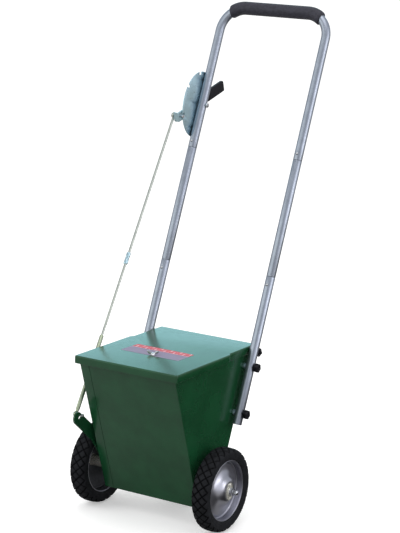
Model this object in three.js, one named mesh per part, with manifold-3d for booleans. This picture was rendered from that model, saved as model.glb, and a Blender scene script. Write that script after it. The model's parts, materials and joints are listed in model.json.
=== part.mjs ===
// Two-wheeled dry line marker: sheet-steel hopper on an axle with an agitator, a rotating gate under the
// trough, a plug-together tube handle, and a notched hand lever that works the gate through a long rod.
// Millimetres, +Z up, X along the axle, front towards -Y, ground at Z = 0.
import * as THREE from 'three';
import { mergeVertices } from 'three/addons/utils/BufferGeometryUtils.js';
import Module from 'manifold-3d';

const wasm = await Module();
wasm.setup();

// ---------------------------------------------------------------- driving dimensions
const sheet = 1.5;               // hopper sheet
const gap = 0.3;                 // between fixed pieces that touch
const running = 0.15;            // radial room round a turning shaft

const wheelRadius = 100;
const tyreWidth = 43.6;
const wheelX = 173.2;            // centre plane of each wheel
const rimRadius = 72.8;
const rimWidth = 35.6;
const hubRadius = 13;
const hubEndX = 201;             // outer end of the hub
const nutRadius = 10;            // axle nut, and the hub's end under it
const nutHeight = 9;
const axleRadius = 6.35;
const axleEndX = 221;

const hopperHalfWidth = 133.3;
const hopperBottomZ = wheelRadius - 45.7;   // keeps the walls on the trough whatever the wheel
const frontBottomY = -34.1;
const frontSlope = 0.3363;       // front wall, mm forwards per mm of height
const rearBottomY = 48.9;
const frontFlange = 26;          // left side sheet folded across the front
const troughRadius = 50;         // outside of the curved bottom
const slotHalfAngle = 6.5;       // outlet windows, degrees each side of their middle
const slotAngle = 278;           // middle of the outlet windows round the axle
const windowCount = 3;
const windowLength = 70;
const windowPitch = 82;

const lidTopZ = hopperBottomZ + 349.7;
const lidHalfWidth = 143.1;
const lidBackHalfWidth = 137.2;  // narrowed to pass between the tubes
const lidFrontY = -153.7;
const lidBackY = 203.1;
const lidNarrowY = 72;
const lidSkirt = 18.5;
const wingScrewY = -38;
const wingScrewRadius = 3;

const tubeRadius = 11.1;
const tubeWall = 1.5;
const tubeX = 151;               // handle tube centre lines
const tubeFootY = 102.1;
const tubeFootZ = hopperBottomZ + 174.4;
const lean = 21.9;               // degrees back from upright
const lowerJoint = 361.5;        // along the tube from its foot
const upperJoint = 652;
const handleTop = 1021.4;
const bendRadius = 62;
const spigotLength = 42;
const gripRadius = 16.5;
const gripBore = 2;              // radial room for the tube's bends inside the grip
const gripBend = 40;             // degrees of each bend that the grip covers
const buttonRadius = 3.4;
const lowerButtonDrop = 21;      // snap button below the lower joint
const upperButtonRise = 15.5;    // snap button above the upper joint
const buttonTravel = 3;

const boltRadius = 3;
const sideBolts = [27.5, 141];   // along the tube
const rearKnobAt = 180;
const rearHoleAt = 258;
const rearHoleRadius = 2.6;
const boltHeadRadius = 7;
const spacerRadius = 7;
const knobRadius = 11.5;
const knobLength = 13;

const pivotAt = 762.5;             // lever pivot, along the tube
const leverRest = 38;            // degrees, front end below the tube's square line
const leverSwing = 64;
const leverThickness = 3;
const leverWidth = 24;
const leverPinRadius = 78;       // pivot to rod pin
const leverGripFrom = 44;        // hand grip, from the pivot to the far end
const leverRear = 124;
const leverGripHalf = 14;
const leverGripRaise = 3;        // grip's middle above the lever's middle line
const plateThickness = 2;
const plateHalfLength = leverPinRadius + 6;    // the pin sweeps just clear of the plate's edge
const plateBulge = leverPinRadius - 8.5;
const notchAngles = [-38, 26, 72];

const rodRadius = 3;
const rodTopX = -186;
const rodFootX = -158;
const rodFootY = -122;           // gate pin when the gate is shut
const rodFootZ = wheelRadius + 151;
const rodPinRadius = 3.2;
const gateArmX = -142;           // inner face of the gate arm
const gateArmThickness = 4;
const gateArmWidth = 30;
const gateClearance = 0.4;

const standWidth = 90;
const standFootY = 140;
const standFootLength = 34;
const standThickness = 3;

// ---------------------------------------------------------------- derived values
const rad = THREE.MathUtils.degToRad;
const rearSlope = Math.tan(rad(lean));
const hopperTopZ = lidTopZ - sheet - gap;
const frontY = (z) => frontBottomY - frontSlope * (z - hopperBottomZ);
const rearY = (z) => rearBottomY + rearSlope * (z - hopperBottomZ);
const frontSheet = sheet * Math.hypot(1, frontSlope);   // level thickness of the sloping sheets
const rearSheet = sheet * Math.hypot(1, rearSlope);
const wallInnerX = hopperHalfWidth - sheet;
const armOuterX = gateArmX - gateArmThickness;
const bushEndX = -armOuterX + 1.5;
const hubStartX = bushEndX + 0.5;
const tubeOuterX = tubeX + tubeRadius;
const tubeInnerX = tubeX - tubeRadius;
const tubeBore = tubeRadius - tubeWall;
const tubeSides = 12;
const spigotRadius = tubeBore * Math.cos(Math.PI / tubeSides) - running;

// ---------------------------------------------------------------- materials
const finish = (color, roughness, metalness) =>
  new THREE.MeshStandardMaterial({ color, roughness, metalness });
const green = finish(0x1d4a30, 0.35, 0.1);
const tubeSteel = finish(0xa3aab4, 0.35, 0.9);
const zinc = finish(0x8fa3ad, 0.4, 0.9);
const rimSteel = finish(0xb0b0b8, 0.35, 0.8);
const rubber = finish(0x2b2c31, 0.9, 0);
const foam = finish(0x35353b, 0.95, 0);
const blackPlastic = finish(0x1b1a22, 0.5, 0);
const brightSteel = finish(0xc8cbd0, 0.25, 1);

// ---------------------------------------------------------------- solids
// A closed manifold from any three.js geometry: welded, without collapsed triangles, faces outwards.
function solid(geometry) {
  const bare = geometry.clone();
  bare.deleteAttribute('normal');
  bare.deleteAttribute('uv');
  const welded = mergeVertices(bare, 1e-4);
  const position = welded.attributes.position.array;
  const index = welded.index.array;
  const kept = [];
  let volume = 0;
  for (let i = 0; i < index.length; i += 3) {
    const [a, b, c] = [index[i], index[i + 1], index[i + 2]];
    if (a === b || b === c || c === a) continue;
    kept.push(a, b, c);
    const [p, q, r] = [a, b, c].map((v) => new THREE.Vector3().fromArray(position, 3 * v));
    volume += p.dot(q.cross(r));
  }
  if (volume < 0) kept.reverse();
  return new wasm.Manifold(new wasm.Mesh({
    numProp: 3,
    vertProperties: new Float32Array(position),
    triVerts: new Uint32Array(kept),
  }));
}

function toGeometry(manifold) {
  const { vertProperties, triVerts } = manifold.getMesh();
  const geometry = new THREE.BufferGeometry();
  geometry.setAttribute('position', new THREE.BufferAttribute(new Float32Array(vertProperties), 3));
  geometry.setIndex(new THREE.BufferAttribute(new Uint32Array(triVerts), 1));
  geometry.computeVertexNormals();
  return geometry;
}

const join = (first, ...rest) => rest.reduce((a, b) => a.add(b), first);
const cut = (first, ...tools) => tools.reduce((a, b) => a.subtract(b), first);

// (shape x, shape y, depth) becomes (Y, Z, X), and (lathe radius, lathe height) turns about X.
const toX = new THREE.Matrix4().set(0, 0, 1, 0, 1, 0, 0, 0, 0, 1, 0, 0, 0, 0, 0, 1);
const latheToX = new THREE.Matrix4().set(0, 1, 0, 0, 0, 0, 1, 0, 1, 0, 0, 0, 0, 0, 0, 1);
const latheToZ = new THREE.Matrix4().makeRotationX(Math.PI / 2);

function outline(points) {
  const shape = new THREE.Shape();
  points.forEach(([a, b], i) => (i ? shape.lineTo(a, b) : shape.moveTo(a, b)));
  shape.closePath();
  return shape;
}

// A shape drawn in (Y, Z), from x0 to x1.
function plateX(shape, x0, x1, curveSegments = 6) {
  const geometry = new THREE.ExtrudeGeometry(shape, { depth: x1 - x0, bevelEnabled: false, curveSegments });
  return solid(geometry.applyMatrix4(toX).translate(x0, 0, 0));
}

// A shape drawn in (X, Y), from z0 to z1.
function plateZ(shape, z0, z1, curveSegments = 8) {
  const geometry = new THREE.ExtrudeGeometry(shape, { depth: z1 - z0, bevelEnabled: false, curveSegments });
  return solid(geometry.translate(0, 0, z0));
}

function turned(profile, matrix, segments) {
  const points = profile.map(([radius, height]) => new THREE.Vector2(radius, height));
  return solid(new THREE.LatheGeometry(points, segments).applyMatrix4(matrix));
}

const turnedX = (profile, segments = 16) => turned(profile, latheToX, segments);
const turnedZ = (profile, segments = 12) => turned(profile, latheToZ, segments);

const rod = (radius, from, to) => [[0, from], [radius, from], [radius, to], [0, to]];
const ring = (inner, outer, from, to) => [[inner, from], [outer, from], [outer, to], [inner, to], [inner, from]];
const rodX = (radius, x0, x1, y = 0, z = 0, segments = 12) =>
  turnedX(rod(radius, x0, x1), segments).translate([0, y, z]);

// A round bar along Y, from y0 to y1.
const rodY = (radius, y0, y1, x = 0, z = 0, segments = 12) =>
  solid(new THREE.CylinderGeometry(radius, radius, y1 - y0, segments).translate(x, (y0 + y1) / 2, z));

const box = (x0, x1, y0, y1, z0, z1) =>
  solid(new THREE.BoxGeometry(x1 - x0, y1 - y0, z1 - z0)
    .translate((x0 + x1) / 2, (y0 + y1) / 2, (z0 + z1) / 2));

// ---------------------------------------------------------------- the object
const machine = new THREE.Group();
const handle = new THREE.Group();      // local Z runs up the tubes, local Y points squarely back from them
handle.position.set(0, tubeFootY, tubeFootZ);
handle.rotation.x = -rad(lean);
machine.add(handle);

function add(parent, name, manifold, material) {
  const mesh = new THREE.Mesh(toGeometry(manifold), material);
  mesh.name = name;
  parent.add(mesh);
  return mesh;
}

const sides = [['left', -1], ['right', 1]];
const along = (distance) => new THREE.Vector3(0, 0, distance);
const mirrorX = (manifold, side) => (side < 0 ? manifold.mirror([1, 0, 0]) : manifold);

// ---------------------------------------------------------------- linkage
// Lever pin, rod and gate arm are a four-bar in the (Y, Z) plane. The gate and the rod follow the lever at
// constant ratios that are exact at both ends of the swing; in between, the pin needs a short slot.
const spin = ([y, z], angle) => [
  y * Math.cos(angle) - z * Math.sin(angle),
  y * Math.sin(angle) + z * Math.cos(angle),
];
const tubePoint = (distance, forward) => {
  const [y, z] = spin([-forward, distance], -rad(lean));
  return [tubeFootY + y, tubeFootZ + z];
};
const minus = (a, b) => [a[0] - b[0], a[1] - b[1]];
const bearing = ([y, z]) => Math.atan2(z, y);
const pivot = tubePoint(pivotAt, 0);
const pinAt = leverPinRadius * Math.cos(rad(leverRest));
const pinDrop = leverPinRadius * Math.sin(rad(leverRest));
const rodTop = tubePoint(pivotAt - pinDrop, pinAt);
const rodFoot = [rodFootY, rodFootZ];
const axleCentre = [0, wheelRadius];

function linkAt(swing) {
  const top = spin(minus(rodTop, pivot), -swing).map((v, i) => v + pivot[i]);
  const rodLength = Math.hypot(...minus(rodFoot, rodTop));
  const armLength = Math.hypot(...minus(rodFoot, axleCentre));
  const line = minus(top, axleCentre);
  const span = Math.hypot(...line);
  const cosine = (span ** 2 + armLength ** 2 - rodLength ** 2) / (2 * span * armLength);
  const armBearing = bearing(line) + Math.acos(cosine);
  const foot = [armLength * Math.cos(armBearing), wheelRadius + armLength * Math.sin(armBearing)];
  return {
    top,
    gate: bearing(minus(rodFoot, axleCentre)) - armBearing,
    rod: bearing(minus(foot, top)) - bearing(minus(rodFoot, rodTop)),
  };
}

const swingEnd = rad(leverSwing);
const linkEnd = linkAt(swingEnd);
const gateRatio = linkEnd.gate / swingEnd;
const rodRatio = linkEnd.rod / swingEnd;
const gateSwing = gateRatio * leverSwing;
const steps = Array.from({ length: 25 }, (_, i) => (swingEnd * i) / 24);
const slips = steps.map((swing) => {
  const { top } = linkAt(swing);
  const foot = spin(minus(rodFoot, rodTop), rodRatio * swing).map((v, i) => v + top[i]);
  return minus(spin(minus(foot, axleCentre), gateRatio * swing), minus(rodFoot, axleCentre));
});
const slip = slips.reduce((a, b) => (Math.hypot(...b) > Math.hypot(...a) ? b : a));
machine.userData.ratios = { gate: gateRatio, rod: 1 + rodRatio, slip: Math.hypot(...slip) };

// ---------------------------------------------------------------- hopper
const frontStrip = outline([
  [frontY(hopperBottomZ), hopperBottomZ], [frontY(hopperBottomZ) + frontSheet, hopperBottomZ],
  [frontY(hopperTopZ) + frontSheet, hopperTopZ], [frontY(hopperTopZ), hopperTopZ]]);
const rearStrip = outline([
  [rearY(hopperBottomZ) - rearSheet, hopperBottomZ], [rearY(hopperBottomZ), hopperBottomZ],
  [rearY(hopperTopZ), hopperTopZ], [rearY(hopperTopZ) - rearSheet, hopperTopZ]]);
const sideOutline = outline([
  [frontY(hopperBottomZ), hopperBottomZ], [rearY(hopperBottomZ), hopperBottomZ],
  [rearY(hopperTopZ), hopperTopZ], [frontY(hopperTopZ), hopperTopZ]]);

// Ring sector round the axle in (Y, Z), between two radii and two angles in degrees.
function sector(inner, outer, from, to) {
  const shape = new THREE.Shape();
  shape.absarc(0, wheelRadius, outer, rad(from), rad(to), false);
  shape.absarc(0, wheelRadius, inner, rad(to), rad(from), true);
  shape.closePath();
  return shape;
}

const gateInner = troughRadius + gateClearance;
const gateOuter = gateInner + sheet;
const gateFrom = slotAngle - slotHalfAngle - 2.5;
const gateTo = slotAngle + gateSwing + slotHalfAngle + 3;
const gateWay = sector(troughRadius - gap, gateOuter + gateClearance, gateFrom - gateSwing - 1, gateTo + 2);
const bushHole = axleRadius + 5.85;

add(machine, 'front_panel',
  plateX(frontStrip, -hopperHalfWidth + frontFlange + gap, wallInnerX - gap), green);
add(machine, 'rear_panel', plateX(rearStrip, -wallInnerX + gap, wallInnerX - gap), green);
for (const [side, sign] of sides) {
  let panel = plateX(sideOutline, wallInnerX, hopperHalfWidth);
  if (sign < 0) panel = join(panel, plateX(frontStrip, hopperHalfWidth - frontFlange, hopperHalfWidth));
  panel = cut(panel,
    rodX(bushHole + gap, wallInnerX - 1, hopperHalfWidth + 1, 0, wheelRadius, 24),
    plateX(gateWay, wallInnerX - 1, hopperHalfWidth + 1));
  for (const distance of sideBolts) {
    const [y, z] = tubePoint(distance, 0);
    panel = cut(panel, rodX(boltRadius + gap, wallInnerX - 1, hopperHalfWidth + 1, y, z));
  }
  add(machine, `side_panel_${side}`, mirrorX(panel, sign), green);
}

// Curved trough with a straight apron up to the rear panel.
const troughFrom = 225;
const troughTo = 315;
const apron = 30;
const polar = (radius, degrees) =>
  [radius * Math.cos(rad(degrees)), wheelRadius + radius * Math.sin(rad(degrees))];
const troughShape = new THREE.Shape();
troughShape.absarc(0, wheelRadius, troughRadius, rad(troughFrom), rad(troughTo), false);
const apronStep = [apron * Math.SQRT1_2, apron * Math.SQRT1_2];
const [outerY, outerZ] = polar(troughRadius, troughTo);
const [innerY, innerZ] = polar(troughRadius - sheet, troughTo);
troughShape.lineTo(outerY + apronStep[0], outerZ + apronStep[1]);
troughShape.lineTo(innerY + apronStep[0], innerZ + apronStep[1]);
troughShape.absarc(0, wheelRadius, troughRadius - sheet, rad(troughTo), rad(troughFrom), true);
troughShape.closePath();
const windowAt = (i) => (i - (windowCount - 1) / 2) * windowPitch;
const windows = (middle, inner, outer) => Array.from({ length: windowCount }, (_, i) =>
  plateX(sector(inner, outer, middle - slotHalfAngle, middle + slotHalfAngle),
    windowAt(i) - windowLength / 2, windowAt(i) + windowLength / 2));
add(machine, 'trough', cut(plateX(troughShape, -wallInnerX + gap, wallInnerX - gap, 8),
  ...windows(slotAngle, troughRadius - sheet - 1, troughRadius + 1)), green);

// Cross strap under the lid that the wing screw screws into, with its ends turned down on the side panels.
const strapZ = hopperTopZ - 12;
const strapHalf = 13;
const strapEnd = wallInnerX - gap;
const strap = join(
  box(-strapEnd, strapEnd, wingScrewY - strapHalf, wingScrewY + strapHalf, strapZ - 3, strapZ),
  box(-strapEnd, -strapEnd + 3, wingScrewY - strapHalf, wingScrewY + strapHalf, strapZ - 25, strapZ),
  box(strapEnd - 3, strapEnd, wingScrewY - strapHalf, wingScrewY + strapHalf, strapZ - 25, strapZ));
add(machine, 'lid_strap', cut(strap,
  turnedZ(rod(wingScrewRadius + gap, strapZ - 4, strapZ + 1)).translate([0, wingScrewY, 0])), zinc);

// ---------------------------------------------------------------- lid
function lidOutline(inset) {
  const front = lidFrontY + inset;
  const back = lidBackY - inset;
  const wide = lidHalfWidth - inset;
  const narrow = lidBackHalfWidth - inset;
  const corner = 5 - inset;
  const shape = new THREE.Shape();
  shape.moveTo(-wide + corner, front);
  shape.lineTo(wide - corner, front);
  shape.absarc(wide - corner, front + corner, corner, -Math.PI / 2, 0, false);
  shape.lineTo(wide, lidNarrowY);
  shape.lineTo(narrow, lidNarrowY + 12);
  shape.lineTo(narrow, back);
  shape.lineTo(-narrow, back);
  shape.lineTo(-narrow, lidNarrowY + 12);
  shape.lineTo(-wide, lidNarrowY);
  shape.lineTo(-wide, front + corner);
  shape.absarc(-wide + corner, front + corner, corner, Math.PI, 1.5 * Math.PI, false);
  return shape;
}
const lid = cut(plateZ(lidOutline(0), lidTopZ - lidSkirt, lidTopZ),
  plateZ(lidOutline(sheet), lidTopZ - lidSkirt - 1, lidTopZ - sheet),
  turnedZ(rod(wingScrewRadius + gap, lidTopZ - 5, lidTopZ + 1)).translate([0, wingScrewY, 0]));
add(machine, 'lid', lid, green);

const collarTop = lidTopZ + gap + 6;
const wing = outline([[3, 0], [12, 3], [15, 9], [12, 12], [7, 9], [3, 5]]);
const wings = [1, -1].map((sign) => {
  const blade = plateX(wing, -1.25, 1.25).rotate([0, 0, sign * 90]);
  return blade.translate([0, 0, lidTopZ + gap + 1]);
});
const wingScrew = join(
  turnedZ(rod(wingScrewRadius, strapZ - 12, collarTop - 3)),
  turnedZ([
    [0, lidTopZ + gap], [7.5, lidTopZ + gap], [7.5, lidTopZ + gap + 1.5], [4.5, collarTop], [0, collarTop]]),
  ...wings);
add(machine, 'lid_wing_screw', wingScrew.translate([0, wingScrewY, 0]), brightSteel);

// ---------------------------------------------------------------- axle, agitator, bushes
const axle = new THREE.Group();
axle.position.z = wheelRadius;
machine.add(axle);
const drivePinX = -(hubStartX + 9);
const drivePinRadius = 2.5;
add(axle, 'axle', cut(rodX(axleRadius, -axleEndX, axleEndX, 0, 0, 24),
  turnedZ(rod(drivePinRadius + gap, -20, 20)).translate([drivePinX, 0, 0])), brightSteel);

const agitatorHalf = wallInnerX - 16;
const sleeve = axleRadius + gap + 3.5;
const fingerReach = troughRadius - sheet - 8;
let agitator = rodX(sleeve, -agitatorHalf, agitatorHalf, 0, 0, 16);
const fingers = 6;
const fingerPitch = 36;
const fingerTurn = 60;           // degrees from one finger to the next
const fingerRadius = 3;
for (let i = 0; i < fingers; i += 1) {
  const x = (i - (fingers - 1) / 2) * fingerPitch;
  const finger = turnedZ(rod(fingerRadius, -fingerReach, fingerReach), 6);
  agitator = join(agitator, finger.rotate([i * fingerTurn + 10, 0, 0]).translate([x, 0, 0]));
}
add(axle, 'agitator', cut(agitator, rodX(axleRadius + gap, -agitatorHalf - 1, agitatorHalf + 1, 0, 0, 24)), zinc);

const bushFlange = 18;
for (const [side, sign] of sides) {
  const bush = turnedX([
    [axleRadius + running, wallInnerX - 4], [bushFlange, wallInnerX - 4],
    [bushFlange, wallInnerX - gap],
    [bushHole, wallInnerX - gap], [bushHole, bushEndX], [axleRadius + running, bushEndX],
    [axleRadius + running, wallInnerX - 4]], 24);
  add(axle, `axle_bush_${side}`, mirrorX(bush, sign), blackPlastic);
}

// ---------------------------------------------------------------- wheels
const tyreHalf = tyreWidth / 2;
const rimHalf = rimWidth / 2;
const bead = rimRadius - 1.2;
const bulge = (t) => [
  wheelRadius - 14 - 12 * Math.cos(t),
  tyreHalf * (0.76 + 0.24 * Math.sin(t)),
];
const sidewall = Array.from({ length: 3 }, (_, i) => bulge((Math.PI * (i + 0.7)) / 3.2));
const crown = [[wheelRadius - 0.6, tyreHalf * 0.45], [wheelRadius, 0], [wheelRadius - 0.6, -tyreHalf * 0.45]];
const tyreHalfProfile = [
  [bead + gap, rimHalf - 4.3], [rimRadius + gap, rimHalf - 2.6], [rimRadius + 1, rimHalf + 0.4], ...sidewall];
const tyreProfile = [
  ...tyreHalfProfile, ...crown,
  ...tyreHalfProfile.map(([r, x]) => [r, -x]).reverse(), tyreHalfProfile[0]];

const rimSheet = 1.4;
const dishFace = 22;             // hub seat, outwards from the wheel's middle plane
const dish = [[hubRadius + 1 + gap, dishFace], [26, 20], [40, 7], [60, 2]];
const rimInner = bead - rimSheet;
const rimProfile = [
  ...dish, [rimInner, -1], [rimInner, -rimHalf + 2], [rimRadius, -rimHalf], [rimRadius, -rimHalf + 2.2],
  [bead, -rimHalf + 4], [bead, rimHalf - 4], [rimRadius, rimHalf - 2.2], [rimRadius, rimHalf],
  [rimInner, rimHalf - 2], [rimInner, 1.4], ...dish.map(([r, x]) => [r, x + rimSheet]).reverse(), dish[0]];
const wheelSegments = 28;
const flangeRadius = 24;

for (const [side, sign] of sides) {
  const place = (profile, segments) => mirrorX(turnedX(profile, segments), sign).translate([sign * wheelX, 0, 0]);
  add(axle, `tyre_${side}`, place(tyreProfile, wheelSegments), rubber);
  add(axle, `rim_${side}`, place(rimProfile, wheelSegments), rimSteel);
  const bore = axleRadius + running;
  const flangeX = wheelX + dishFace + rimSheet + gap;
  let hub = turnedX([
    [bore, hubStartX], [hubRadius, hubStartX], [hubRadius, flangeX], [flangeRadius, flangeX],
    [flangeRadius, flangeX + 2], [nutRadius, flangeX + 2], [nutRadius - 1, hubEndX], [bore, hubEndX],
    [bore, hubStartX]], 20);
  if (sign < 0) {
    hub = cut(hub, turnedZ(rod(drivePinRadius + gap, -hubRadius - 2, hubRadius + 2)).translate([-drivePinX, 0, 0]));
  }
  add(axle, `hub_${side}`, mirrorX(hub, sign), zinc);
  const nut = turnedX([
    [bore, hubEndX + gap], [nutRadius, hubEndX + gap], [nutRadius, hubEndX + nutHeight],
    [bore, hubEndX + nutHeight], [bore, hubEndX + gap]], 18);
  add(axle, `axle_nut_${side}`, mirrorX(nut, sign), brightSteel);
}
add(axle, 'drive_pin',
  turnedZ(rod(drivePinRadius, -hubRadius - 5, hubRadius + 5), 12).translate([drivePinX, 0, 0]), brightSteel);

// ---------------------------------------------------------------- handle tubes
const buttonPlaces = [['lower', lowerJoint - lowerButtonDrop], ['upper', upperJoint + upperButtonRise]];
const frontHole = (distance) => rodY(buttonRadius + gap, -tubeRadius - 2, 0, 0, distance);
const tubeOf = (from, to) => turnedZ(ring(tubeBore, tubeRadius, from, to), tubeSides);

for (const [side, sign] of sides) {
  const lower = cut(tubeOf(0, lowerJoint), frontHole(lowerJoint - lowerButtonDrop),
    rodY(boltRadius + gap, 0, tubeRadius + 2, 0, rearKnobAt),
    rodY(rearHoleRadius, 0, tubeRadius + 2, 0, rearHoleAt),
    ...sideBolts.map((distance) => rodX(boltRadius + gap, -tubeRadius - 2, tubeRadius + 2, 0, distance)));
  add(handle, `lower_tube_${side}`, lower.translate([sign * tubeX, 0, 0]), tubeSteel);

  const start = lowerJoint + gap;
  const end = upperJoint - gap;
  const neck = spigotRadius - tubeWall;
  const middle = cut(turnedZ([
    [neck, lowerJoint - spigotLength], [spigotRadius, lowerJoint - spigotLength], [spigotRadius, start],
    [tubeRadius, start], [tubeRadius, end], [spigotRadius, end], [spigotRadius, upperJoint + spigotLength],
    [neck, upperJoint + spigotLength], [neck, lowerJoint - spigotLength]], tubeSides),
  ...buttonPlaces.map(([, distance]) => frontHole(distance)));
  add(handle, `middle_tube_${side}`, middle.translate([sign * tubeX, 0, 0]), tubeSteel);

  for (const [level, distance] of buttonPlaces) {
    const button = join(rodY(buttonRadius, -tubeRadius - 2.2, -neck + 4.5, 0, distance),
      rodY(buttonRadius + 1.2, -neck + 3, -neck + 4.5, 0, distance));
    add(handle, `snap_button_${level}_${side}`, button.translate([sign * tubeX, 0, 0]), brightSteel);
  }
}

// Upper handle: one tube bent twice. Without legs it is the line of the grip alone.
function handlePath(bend, legFrom) {
  const corner = tubeX - bendRadius;
  const path = new THREE.CurvePath();
  const arcPoint = (sign, degrees) => new THREE.Vector3(
    sign * (corner + bendRadius * Math.cos(rad(degrees))), 0,
    handleTop - bendRadius + bendRadius * Math.sin(rad(degrees)));
  const arc = (sign, from, to) => {
    const turn = new THREE.Curve();
    turn.getPoint = (t) => arcPoint(sign, from + (to - from) * t);
    return turn;
  };
  const leg = (sign) => new THREE.Vector3(sign * tubeX, 0, legFrom);
  if (legFrom !== null) path.add(new THREE.LineCurve3(leg(-1), arcPoint(-1, 0)));
  path.add(arc(-1, bend, 90));
  path.add(new THREE.LineCurve3(arcPoint(-1, 90), arcPoint(1, 90)));
  path.add(arc(1, 90, bend));
  if (legFrom !== null) path.add(new THREE.LineCurve3(arcPoint(1, 0), leg(1)));
  return path;
}

function tubeAlong(path, outer, inner, count, sidesRound) {
  const section = new THREE.Shape();
  section.absarc(0, 0, outer, 0, 2 * Math.PI, false);
  const hole = new THREE.Path();
  hole.absarc(0, 0, inner, 0, 2 * Math.PI, true);
  section.holes.push(hole);
  return solid(new THREE.ExtrudeGeometry(section,
    { extrudePath: path, steps: count, curveSegments: sidesRound, bevelEnabled: false }));
}

const upper = cut(tubeAlong(handlePath(0, upperJoint), tubeRadius, tubeBore, 30, tubeSides / 2),
  ...sides.map(([, sign]) => frontHole(upperJoint + upperButtonRise).translate([sign * tubeX, 0, 0])),
  rodX(boltRadius + gap, -tubeX - tubeRadius - 2, -tubeX + tubeRadius + 2, 0, pivotAt));
add(handle, 'upper_handle', upper, tubeSteel);
const gripPath = handlePath(90 - gripBend, null);
add(handle, 'handle_grip',
  tubeAlong(gripPath, gripRadius, tubeRadius + gripBore, 12, tubeSides / 2), foam);

// ---------------------------------------------------------------- knobs, bolts and spacers
function knob(bore) {
  const lobes = 6;
  const shape = outline(Array.from({ length: lobes * 4 }, (_, i) => {
    const angle = (2 * Math.PI * i) / (lobes * 4);
    const radius = knobRadius * (0.92 + 0.08 * Math.cos(lobes * angle));
    return [radius * Math.cos(angle), radius * Math.sin(angle)];
  }));
  const body = join(plateX(shape, 3, knobLength), rodX(7, 0, 3.5));
  return bore ? cut(body, rodX(bore, -1, knobLength - 3)) : body;
}

const knobX = tubeOuterX + gap;
for (const [side, sign] of sides) {
  sideBolts.forEach((distance, i) => {
    const level = ['lower', 'upper'][i];
    const bolt = join(rodX(boltRadius, wallInnerX - 2, knobX + knobLength - 4, 0, distance),
      rodX(boltHeadRadius, wallInnerX - 3.3, wallInnerX - gap, 0, distance));
    add(handle, `side_bolt_${level}_${side}`, mirrorX(bolt, sign), brightSteel);
    const spacer = turnedX(ring(boltRadius + gap, spacerRadius, hopperHalfWidth + gap, tubeInnerX - gap), 16);
    add(handle, `spacer_${level}_${side}`, mirrorX(spacer.translate([0, 0, distance]), sign), zinc);
    add(handle, `side_knob_${level}_${side}`,
      mirrorX(knob(boltRadius + running).translate([knobX, 0, distance]), sign), blackPlastic);
  });
  const stud = join(knob(0), rodX(boltRadius, -tubeRadius + 1, 1));
  add(handle, `rear_knob_${side}`,
    stud.rotate([0, 0, 90]).translate([sign * tubeX, tubeRadius + gap, rearKnobAt]), blackPlastic);
}

// ---------------------------------------------------------------- quadrant plate and lever
const plateX0 = -tubeOuterX - gap - plateThickness;
const leverX0 = plateX0 - 1.2 - leverThickness;
const leverX1 = leverX0 + leverThickness;
const quadrant = new THREE.Group();     // pivot centre; local Y points squarely back, local Z up the tube
quadrant.position.copy(along(pivotAt));
handle.add(quadrant);

const plateShape = new THREE.Shape();
plateShape.moveTo(tubeRadius - 2, plateHalfLength);
plateShape.lineTo(0, plateHalfLength);
plateShape.absellipse(0, 0, plateBulge, plateHalfLength, Math.PI / 2, 1.5 * Math.PI, false);
plateShape.lineTo(tubeRadius - 2, -plateHalfLength);
plateShape.closePath();
const edgeRadius = (angle) =>
  1 / Math.hypot(Math.cos(rad(angle)) / plateBulge, Math.sin(rad(angle)) / plateHalfLength);
const notchDepth = 8;
const notchHalf = 4;
const notches = notchAngles.map((angle) => {
  const edge = -edgeRadius(angle);
  const bite = box(plateX0 - 1, plateX0 + plateThickness + 1, edge - 3, edge + notchDepth, -notchHalf, notchHalf);
  return bite.rotate([-angle, 0, 0]);
});
const plate = cut(plateX(plateShape, plateX0, plateX0 + plateThickness, 20), ...notches,
  rodX(boltRadius + gap, plateX0 - 1, plateX0 + plateThickness + 1));
add(quadrant, 'quadrant_plate', plate, zinc);

const boltHead = leverX0 - gap - 4;
add(quadrant, 'lever_pivot_bolt', join(rodX(boltRadius, boltHead + 1, -tubeInnerX + 7),
  rodX(boltHeadRadius, boltHead, leverX0 - gap, 0, 0, 6)), brightSteel);
const nutEnd = -tubeInnerX + gap + 5;
add(quadrant, 'lever_pivot_nut', cut(rodX(6.2, nutEnd - 5, nutEnd, 0, 0, 6),
  rodX(boltRadius + running, nutEnd - 6, nutEnd + 1)), brightSteel);

const lever = new THREE.Group();        // local Y runs from the rod pin towards the hand grip
lever.rotation.x = rad(leverRest);
quadrant.add(lever);
const halfWidth = leverWidth / 2;
const stripHalf = halfWidth - 3;         // the strip narrows behind the pivot
const stripEnd = leverRear - 12;
const gripCheek = 4;                     // grip each side of the strip
const tipY = -leverPinRadius - 11;
const leverShape = outline([
  [tipY, -halfWidth], [-leverPinRadius + 8, -halfWidth], [-14, -stripHalf], [stripEnd, -stripHalf],
  [stripEnd, stripHalf], [-14, stripHalf], [-leverPinRadius + 8, halfWidth], [tipY, halfWidth]]);
const leverPlate = join(plateX(leverShape, leverX0, leverX1),
  box(leverX0 - 11, leverX0 + 1, tipY, tipY + leverThickness, -halfWidth, halfWidth));
add(lever, 'lever', cut(leverPlate,
  rodX(boltRadius + running, leverX0 - 1, leverX1 + 1),
  rodX(rodPinRadius + running, leverX0 - 1, leverX1 + 1, -leverPinRadius, 0)), zinc);

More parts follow.
